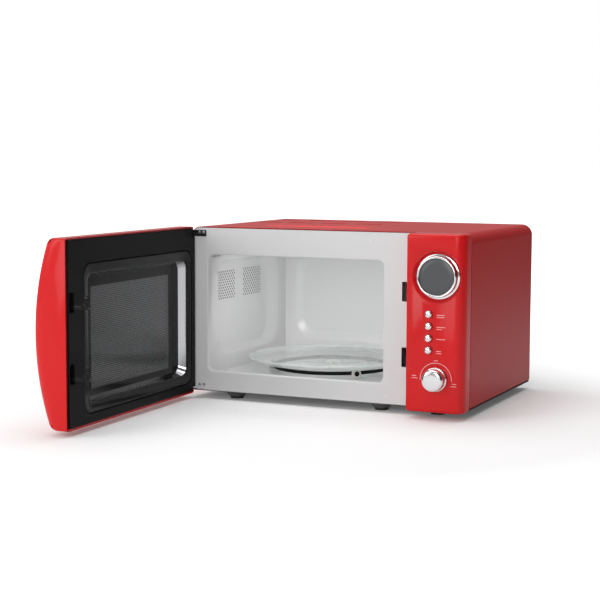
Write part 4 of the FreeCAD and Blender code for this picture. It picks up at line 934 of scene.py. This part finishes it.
        def dash(x: float, z: float, width: float) -> None:
            low, high = (x, z - self.dash_height / 2), (x + width, z + self.dash_height / 2)
            loop = rounded_loop(bm, low, high, self.dash_height * 0.45, steps=2)
            plate(bm, [loop], thick, at(0.0, face, 0.0, FACE_FRONT))
        for number, widths in enumerate(self.dash_widths):
            for line, width in enumerate(widths):
                dash(self.button_x + self.dash_left, self.button_z(number) - 1.0 - self.dash_pitch * line, width)
        dash(self.knob[0] - 3.0, self.knob[1] + 26.0, 6.0)
        dash(self.knob[0] - 35.0, self.knob[1] + 3.6, 6.5)
        dash(self.knob[0] - 35.0, self.knob[1] + 0.4, 8.5)
        dash(self.knob[0] + 23.5, self.knob[1] - 5.0, 6.5)
        dash(self.knob[0] + 21.5, self.knob[1] - 8.6, 8.5)
        (inner, outer), (start, end) = self.scale_radii, self.scale_ends
        ring = arc((0.0, 0.0), outer, start, end, 48) + arc((0.0, 0.0), inner, end, start, 48)
        verts = [bm.verts.new((x + self.knob[0], y + self.knob[1], 0.0)) for x, y in ring]
        edges = [bm.edges.new(pair) for pair in zip(verts, verts[1:] + verts[:1])]
        plate(bm, [edges], thick, at(0.0, face, 0.0, FACE_FRONT))
        Piece("printed_marks", "cabinet", "white_plastic", PRINT_WHITE).fixed(bm)


# ------------------------------------------------------------------ door

@dataclass
class Door:
    """Bowed outer moulding, inner frame with its hinge knuckle, choke cover, screen, panes and latch."""

    left: float = 1.5
    right: float = 354.3
    low: float = 7.0
    high: float = 258.0
    face: float = -2.0
    rim: float = -5.0
    edge: float = -34.0
    bow: float = 365.0
    corner: float = 12.0
    free_depth: float = 22.8
    free_width: float = 9.0
    hinge_round: float = 7.0
    frame_low: Point2 = (8.0, 11.2)
    frame_high: Point2 = (351.0, 255.4)
    choke_low: Point2 = (13.0, 23.0)
    choke_high: Point2 = (315.0, 224.0)
    slot_x: Point2 = (338.5, 349.3)
    hook_x: Point2 = (342.4, 346.0)
    hook_lows: Point2 = (164.0, 71.0)
    hole_pitch: float = 2.6
    field_low: Point2 = (60.0, 52.0)
    field_high: Point2 = (278.0, 192.0)

    def build(self) -> None:
        """Build every piece of the door."""
        self.shell()
        self.inner_frame()
        self.choke()
        self.screen()
        self.panes()
        self.latch()

    def section(self, bm: bmesh.types.BMesh, x: float, front_in: float,
                end_in: float) -> list[bmesh.types.BMEdge]:
        """Add one upright section of the bowed block.

        Args:
            bm: Mesh that receives the section.
            x: Where the section stands across the door.
            front_in: How far the bowed face is drawn in.
            end_in: How far the top and bottom are drawn in.

        Returns:
            The section's edges.
        """
        low, high = self.low + end_in, self.high - end_in
        middle, half = (low + high) / 2, (high - low) / 2
        radius = self.corner
        bow = self.bow - front_in
        centre = self.edge + front_in + math.sqrt(bow ** 2 - (self.high - self.low) ** 2 / 4)
        tilt = math.degrees(math.asin((half - radius) / (bow - radius)))
        reach = math.sqrt((bow - radius) ** 2 - (half - radius) ** 2)
        lower = arc((centre - reach, low + radius), radius, 270.0, 180.0 + tilt, 6)
        face = arc((centre, middle), bow, 180.0 + tilt, 180.0 - tilt, 28)[1:-1]
        upper = arc((centre - reach, high - radius), radius, 180.0 - tilt, 90.0, 6)
        points = [(self.rim, low)] + lower + face + upper + [(self.rim, high)]
        verts = [bm.verts.new((x, y, z)) for y, z in points]
        return [bm.edges.new(pair) for pair in zip(verts, verts[1:] + verts[:1])]

    def shell(self) -> None:
        """Build the outer moulding by lofting sections, then open its window and its back."""
        bm = bmesh.new()
        stations = []
        for step in range(7):
            angle = math.radians(90.0 * step / 6)
            depth = self.hinge_round * (1 - math.sin(angle))
            stations.append((self.left + self.hinge_round * (1 - math.cos(angle)), depth, depth * 0.3))
        for step in range(11):
            angle = math.radians(90.0 * step / 10)
            depth = self.free_depth * (1 - math.cos(angle))
            across = self.free_width * (1 - math.sin(angle))
            stations.append((self.right - across, depth, depth * 0.08))
        loops = [self.section(bm, x, front_in, end_in) for x, front_in, end_in in stations]
        bridge(bm, loops, caps=True)
        solid_out(bm)
        item = Piece("door_moulding", "door", "red_plastic", RED_PLASTIC, ("door_shell",), sharp=45.0).hung(bm)
        carve(item, [self.back_room, self.window_room, self.knuckle_room], DATUM.door())

    def back_room(self, bm: bmesh.types.BMesh) -> None:
        """Draw the space inside the moulding that the inner frame fills."""
        block(bm, (self.frame_low[0] - 1.2, -31.0, self.frame_low[1] - 1.2),
              (self.frame_high[0] + 0.4, 2.0, self.frame_high[1] + 0.4))

    def window_room(self, bm: bmesh.types.BMesh) -> None:
        """Draw the window through the bowed face."""
        block(bm, (54.0, -70.0, 56.0), (310.0, -24.0, 206.0))
        corners = [edge for edge in bm.edges if abs(edge.verts[0].co.y - edge.verts[1].co.y) > 10.0]
        bmesh.ops.bevel(bm, geom=corners, offset=12.0, segments=8, affect="EDGES", profile=0.5, material=-1)

    def knuckle_room(self, bm: bmesh.types.BMesh) -> None:
        """Draw the room for the hinge side, which turns past the front sheet."""
        block(bm, (self.left - 2.0, -10.3, 13.7), (self.left + 11.0, 2.0, 252.3))

    def inner_frame(self) -> None:
        """Build the inner frame, with its two latch slots and its hinge knuckle."""
        bm = bmesh.new()
        outer = rounded_loop(bm, self.frame_low, self.frame_high, 5.0)
        groove = rounded_loop(bm, self.choke_low, self.choke_high, 16.0, steps=10)
        slots = [rounded_loop(bm, (self.slot_x[0], low - 3.0), (self.slot_x[1], low + 24.0), 2.0, steps=4)
                 for low in self.hook_lows]
        plate(bm, [outer, groove, *slots], 17.0, at(0.0, self.face, 0.0, FACE_FRONT))
        soft_block(bm, (1.2, -10.0, 14.0), (9.0, self.face - 0.1, 246.0), 1.5)
        Piece("door_inner_frame", "door", "black_plastic", BLACK_SATIN, ("door_frame",), ease=0.7,
              ease_steps=3).hung(bm)

    def choke(self) -> None:
        """Build the choke cover: a groove and a dished band, and the bright wall inside it."""
        rings = ((0.9, -16.0), (0.9, -3.6), (1.2, -2.8), (1.9, -2.4), (3.2, -2.5), (9.0, -3.0), (12.0, -3.4),
                 (13.0, -3.9), (13.5, -4.8))
        self.loft("choke_surround", BLACK_GLOSS, rings, ("choke_cover",))
        self.loft("choke_wall", DARK_MIRROR, ((13.5, -4.9), (14.0, -7.0), (15.6, -11.0), (17.4, -15.9)), ())

    def loft(self, name: str, finish: Finish, rings: Sequence[Point2], replaces: tuple[str, ...]) -> None:
        """Loft a sheet through rounded rectangles set in from the groove.

        Args:
            name: Name of the piece.
            finish: Its finish.
            rings: Inset from the groove and Y of each rectangle.
            replaces: CAD nodes that the sheet stands for.
        """
        bm = bmesh.new()
        loops = []
        for inset, depth in rings:
            low = (self.choke_low[0] + inset, self.choke_low[1] + inset * 1.15)
            high = (self.choke_high[0] - inset, self.choke_high[1] - inset * 1.15)
            loops.append(rounded_loop(bm, low, high, max(16.0 - inset * 0.35, 3.0), height=-depth, steps=10))
        bridge(bm, loops)
        bmesh.ops.transform(bm, matrix=FACE_FRONT, verts=bm.verts[:])
        normals_out(bm, Vector((0.0, 1.0, 0.0)))
        bmesh.ops.solidify(bm, geom=bm.faces[:], thickness=0.4)
        Piece(name, "door", "black_plastic", finish, replaces, sharp=60.0).hung(bm)

    def screen(self) -> None:
        """Build the punched screen: a plain steel margin around a field of small holes."""
        pitch, field_low, field_high = self.hole_pitch, self.field_low, self.field_high
        low = (self.choke_low[0] + 13.0, self.choke_low[1] + 15.0)
        high = (self.choke_high[0] - 13.0, self.choke_high[1] - 15.0)
        columns = int((field_high[0] - field_low[0]) / pitch)
        rows = int((field_high[1] - field_low[1]) / pitch)
        border = bmesh.new()
        outer = rounded_loop(border, low, high, 10.0)
        field_end = (field_low[0] + columns * pitch, field_low[1] + rows * pitch)
        inner = rounded_loop(border, field_low, field_end, 0.01, steps=1)
        plate(border, [outer, inner], 0.8, at(0.0, -15.8, 0.0, FACE_FRONT))
        Piece("screen_margin", "door", "bare_steel", BLACK_GLOSS, ("door_screen",)).hung(border)
        field = bmesh.new()
        cell = bmesh.ops.create_circle(field, cap_ends=False, segments=4, radius=pitch / math.sqrt(2),
                                       matrix=Matrix.Rotation(math.pi / 4, 4, "Z"))["verts"]
        hole = bmesh.ops.create_circle(field, cap_ends=False, segments=8, radius=pitch * 0.33,
                                       matrix=Matrix.Rotation(math.pi / 8, 4, "Z"))["verts"]
        rims = {edge for vert in [*cell, *hole] for edge in vert.link_edges}
        bmesh.ops.triangle_fill(field, use_beauty=True, use_dissolve=False, edges=list(rims),
                                normal=(0, 0, 1))
        bmesh.ops.transform(field, verts=field.verts[:], matrix=at(
            field_low[0] + pitch / 2, -15.9, field_low[1] + pitch / 2, FACE_FRONT))
        for count, step in ((columns, Vector((pitch, 0, 0))), (rows, Vector((0, 0, pitch)))):
            strip = field.verts[:] + field.edges[:] + field.faces[:]
            for index in range(1, count):
                copy = bmesh.ops.duplicate(field, geom=strip)["geom"]
                verts = [part for part in copy if isinstance(part, bmesh.types.BMVert)]
                bmesh.ops.translate(field, verts=verts, vec=step * index)
        bmesh.ops.remove_doubles(field, verts=field.verts[:], dist=0.01)
        normals_out(field, Vector((0.0, 1.0, 0.0)))
        Piece("screen_field", "door", "bare_steel", SCREEN_STEEL).hung(field)

    def panes(self) -> None:
        """Build the film behind the screen, the black mask and the tinted outer pane."""
        film = bmesh.new()
        loop = rounded_loop(film, (28.0, 40.0), (300.0, 207.0), 4.0)
        plate(film, [loop], 0.6, at(0.0, -17.4, 0.0, FACE_FRONT))
        Piece("window_film", "door", "clear_pane", INNER_FILM, ("inner_pane",)).hung(film)
        mask = bmesh.new()
        outer = rounded_loop(mask, (14.0, 24.0), (314.0, 223.0), 4.0)
        inner = rounded_loop(mask, (66.0, 66.0), (298.0, 196.0), 8.0)
        plate(mask, [outer, inner], 0.6, at(0.0, -18.4, 0.0, FACE_FRONT))
        Piece("window_mask", "door", "black_plastic", BASE_BLACK).hung(mask)
        glass = bmesh.new()
        loop = rounded_loop(glass, (46.0, 49.0), (318.0, 213.0), 8.0)
        plate(glass, [loop], 3.0, at(0.0, -38.0, 0.0, FACE_FRONT))
        Piece("outer_window", "door", "dark_glass", TINTED_GLASS, ("outer_glass",), ease=0.6).hung(glass)

    def latch(self) -> None:
        """Build the latch plate: a bar in the frame, two arms and their eyed tips."""
        bm = bmesh.new()
        left, right = self.hook_x
        eye = 20.0
        soft_block(bm, (left, -12.0, 67.0), (right, -6.0, 187.0), 0.8)
        for low in self.hook_lows:
            soft_block(bm, (left, -7.0, low + 2.0), (right, eye, low + 8.0), 0.9)
            rod(bm, at(left, eye, low + 7.5, FACE_RIGHT), 5.6, 3.6, steps=40)
            soft_block(bm, (left, 17.0, low + 6.0), (right, 25.6, low + 20.5), 1.2)
            rod(bm, at(left - 0.6, eye, low + 7.5, FACE_RIGHT), 2.6, 4.8, steps=24)
        Piece("latch_plate", "latch", "black_plastic", BLACK_GLOSS, ("latch_hooks",), sharp=40.0).hung(bm)


def solid_out(bm: bmesh.types.BMesh) -> None:
    """Make a closed solid's faces look outwards."""
    bmesh.ops.recalc_face_normals(bm, faces=bm.faces[:])
    if bm.calc_volume(signed=True) < 0:
        bmesh.ops.reverse_faces(bm, faces=bm.faces[:])


def normals_out(bm: bmesh.types.BMesh, direction: Vector) -> None:
    """Make an open sheet's faces agree and look, on the whole, along a direction."""
    bmesh.ops.recalc_face_normals(bm, faces=bm.faces[:])
    lean = sum((face.normal * face.calc_area() for face in bm.faces), Vector())
    if lean.dot(direction) < 0:
        bmesh.ops.reverse_faces(bm, faces=bm.faces[:])


@dataclass
class Hinges:
    """Upper and lower hinge brackets on the front sheet, with their pins."""

    x: float = 5.0
    y: float = -6.0
    upper: float = 247.0
    lower: float = 17.0
    thick: float = 1.5

    def build(self) -> None:
        """Build both brackets."""
        self.bracket("upper_bracket", "upper_hinge", self.upper, -1.0, DARK_STEEL)
        self.bracket("lower_bracket", "lower_hinge", self.lower - self.thick, 1.0, PRESSED_GREY)

    def bracket(self, name: str, node: str, low: float, pin_way: float, finish: Finish) -> None:
        """Build one bracket: a rounded arm, a leaf against the sheet and the door's pin."""
        bm = bmesh.new()
        arm = rounded_loop(bm, (self.x - 4.0, self.y - 4.0), (self.x + 18.0, -0.2), 3.8)
        plate(bm, [arm], self.thick, at(0.0, 0.0, low))
        leaf_low = low - 3.5 if pin_way < 0 else low - 1.0
        soft_block(bm, (self.x - 1.0, -1.2, leaf_low), (self.x + 22.0, -0.2, leaf_low + 9.5), 0.3)
        start = low if pin_way < 0 else low + self.thick
        turn = Matrix.Rotation(math.pi, 4, "X") if pin_way < 0 else Matrix.Identity(4)
        rod(bm, at(self.x, self.y, start, turn), 2.5, 9.0, steps=32)
        rod(bm, at(self.x, self.y, low - 0.4 if pin_way > 0 else low + self.thick - 0.4), 3.2, 0.8, steps=32)
        Piece(name, "cabinet", "bare_steel", finish, (node,), ease=0.2).fixed(bm)
        heads = bmesh.new()
        for x in (self.x + 11.0, self.x + 18.0):
            lathe(heads, [(2.1, 0.0), (2.1, 0.5), (1.6, 1.0), (0.0, 1.2)],
                  at(x, -1.2, leaf_low + 6.2, FACE_FRONT), steps=20)
        Piece(name + "_rivets", "cabinet", "bare_steel", ZINC).fixed(heads)


# ------------------------------------------------------------------ carried CAD nodes

NODE_FINISHES: dict[str, Finish] = {
    "base_plate": FOOT_GREY, "rubber_feet": RUBBER, "back_plate": CHASSIS_GREY, "cord_gland": BLACK_SATIN,
    "waveguide": ZINC, "waveguide_cover": MICA, "magnetron": ZINC, "magnetron_fins": ALUMINIUM,
    "transformer_core": LAMINATIONS, "transformer_windings": COPPER, "capacitor": ALUMINIUM,
    "fan_shroud": WHITE_MOULDING, "fan_motor": LAMINATIONS, "fan_blade": WHITE_MOULDING, "oven_lamp": BULB,
    "filter_board": BOARD, "turntable_motor": ZINC, "drive_coupler": WHITE_MOULDING,
    "display_module": BLACK_SATIN, "knob_shaft": WHITE_MOULDING, "selector_encoder": BLACK_SATIN,
    "control_board": BOARD, "interlock_frame": WHITE_MOULDING, "door_switches": BLACK_SATIN,
    "latch_spring": ZINC, "case_screws": ZINC,
}


def dress_nodes() -> None:
    """Give each CAD node that stays visible its finish."""
    for name, finish in NODE_FINISHES.items():
        node = frame["nodes"][name]
        for slot in node.material_slots:
            slot.material = finish.material()
        LOG.info("%s wears %s", name, finish.name)


# ------------------------------------------------------------------ studio

@dataclass
class Studio:
    """Floor, soft lights, pale world and camera."""

    eye: Point3 = (1063.9, -1925.5, 365.8)
    yaw: float = 24.64
    pitch: float = 5.68
    roll: float = 0.2
    lens: float = 87.94
    ambient: Point2 = (0.50, 0.05)
    shade_reach: Point2 = (0.45, 1.3)

    def build(self) -> None:
        """Set the stage."""
        self.camera()
        self.floor()
        self.lights()
        self.world()
        bpy.context.scene.view_settings.view_transform = "Standard"

    def camera(self) -> None:
        """Add the camera and make it the scene's own."""
        data = bpy.data.cameras.new("camera")
        data.lens, data.sensor_width = self.lens, 36.0
        data.clip_end = 50.0
        item = bpy.data.objects.new("camera", data)
        item.location = DATUM.fixed() @ Vector(self.eye)
        turn = (Matrix.Rotation(math.radians(self.yaw), 4, "Z")
                @ Matrix.Rotation(math.radians(90.0 - self.pitch), 4, "X")
                @ Matrix.Rotation(math.radians(self.roll), 4, "Z"))
        item.rotation_euler = turn.to_euler()
        bpy.context.scene.collection.objects.link(item)
        bpy.context.scene.camera = item

    def floor(self) -> None:
        """Add the pale floor."""
        bm = bmesh.new()
        bmesh.ops.create_grid(bm, x_segments=1, y_segments=1, size=12.0)
        mesh = bpy.data.meshes.new("floor")
        bm.to_mesh(mesh)
        bm.free()
        mesh.materials.append(self.floor_material())
        item = bpy.data.objects.new("floor", mesh)
        item.location.z = -0.0002
        bpy.context.scene.collection.objects.link(item)

    def floor_material(self) -> bpy.types.Material:
        """Return the floor's finish, which glows to the eye away from the oven so that it runs to white."""
        material = FLOOR_WHITE.material()
        nodes, links = material.node_tree.nodes, material.node_tree.links
        coordinates, path = nodes.new("ShaderNodeTexCoord"), nodes.new("ShaderNodeLightPath")
        reach = nodes.new("ShaderNodeVectorMath")
        reach.operation = "LENGTH"
        fade = nodes.new("ShaderNodeMapRange")
        fade.inputs["From Min"].default_value, fade.inputs["From Max"].default_value = self.shade_reach
        fade.inputs["To Min"].default_value = 0.08
        seen = nodes.new("ShaderNodeMath")
        seen.operation = "MULTIPLY"
        shader = nodes["Principled BSDF"]
        links.new(coordinates.outputs["Object"], reach.inputs[0])
        links.new(reach.outputs["Value"], fade.inputs["Value"])
        links.new(fade.outputs["Result"], seen.inputs[0])
        links.new(path.outputs["Is Camera Ray"], seen.inputs[1])
        links.new(seen.outputs[0], shader.inputs["Emission Strength"])
        shader.inputs["Emission Color"].default_value = (1.0, 1.0, 1.0, 1.0)
        return material

    def lights(self) -> None:
        """Add the soft boxes."""
        for name, place, aim, size, power in (
                ("key", (-1.7, -2.1, 1.1), (0.0, -0.1, 0.1), 1.7, 24.0),
                ("front", (0.5, -2.8, 1.0), (0.05, -0.1, 0.12), 1.4, 28.0),
                ("top", (-0.1, 0.2, 2.4), (0.0, 0.0, 0.1), 2.2, 42.0),
                ("cavity", (-0.02, 0.06, 0.205), (-0.02, 0.24, 0.10), 0.16, 0.30)):
            data = bpy.data.lights.new(name, "AREA")
            data.shape, data.size, data.energy = "SQUARE", size, power
            item = bpy.data.objects.new(name, data)
            item.location = place
            aimed = Vector(aim) - Vector(place)
            item.rotation_euler = aimed.to_track_quat("-Z", "Y").to_euler()
            item.visible_camera = False
            bpy.context.scene.collection.objects.link(item)

    def world(self) -> None:
        """Give the scene a surround: white behind, dim for everything that it lights."""
        world = bpy.data.worlds.new("surround")
        world.use_nodes = True
        nodes, links = world.node_tree.nodes, world.node_tree.links
        path, place = nodes.new("ShaderNodeLightPath"), nodes.new("ShaderNodeNewGeometry")
        split, side = nodes.new("ShaderNodeSeparateXYZ"), nodes.new("ShaderNodeMapRange")
        links.new(place.outputs["Position"], split.inputs["Vector"])
        links.new(split.outputs["X"], side.inputs["Value"])
        side.inputs["From Min"].default_value, side.inputs["From Max"].default_value = -0.7, 0.7
        side.inputs["To Min"].default_value, side.inputs["To Max"].default_value = self.ambient
        mix = nodes.new("ShaderNodeMix")
        links.new(path.outputs["Is Camera Ray"], mix.inputs["Factor"])
        links.new(side.outputs["Result"], mix.inputs["A"])
        mix.inputs["B"].default_value = 1.0
        nodes["Background"].inputs["Color"].default_value = (1.0, 1.0, 1.0, 1.0)
        links.new(mix.outputs["Result"], nodes["Background"].inputs["Strength"])
        bpy.context.scene.world = world


def main() -> None:
    """Build the oven, dress the CAD nodes and set the stage."""
    logging.basicConfig(level=logging.INFO, format="%(message)s")
    Studio().build()
    for assembly in (Cabinet(), Cavity(), Turntable(), ControlPanel(), Door(), Hinges()):
        assembly.build()
    dress_nodes()


if __name__ == "__main__":
    main()
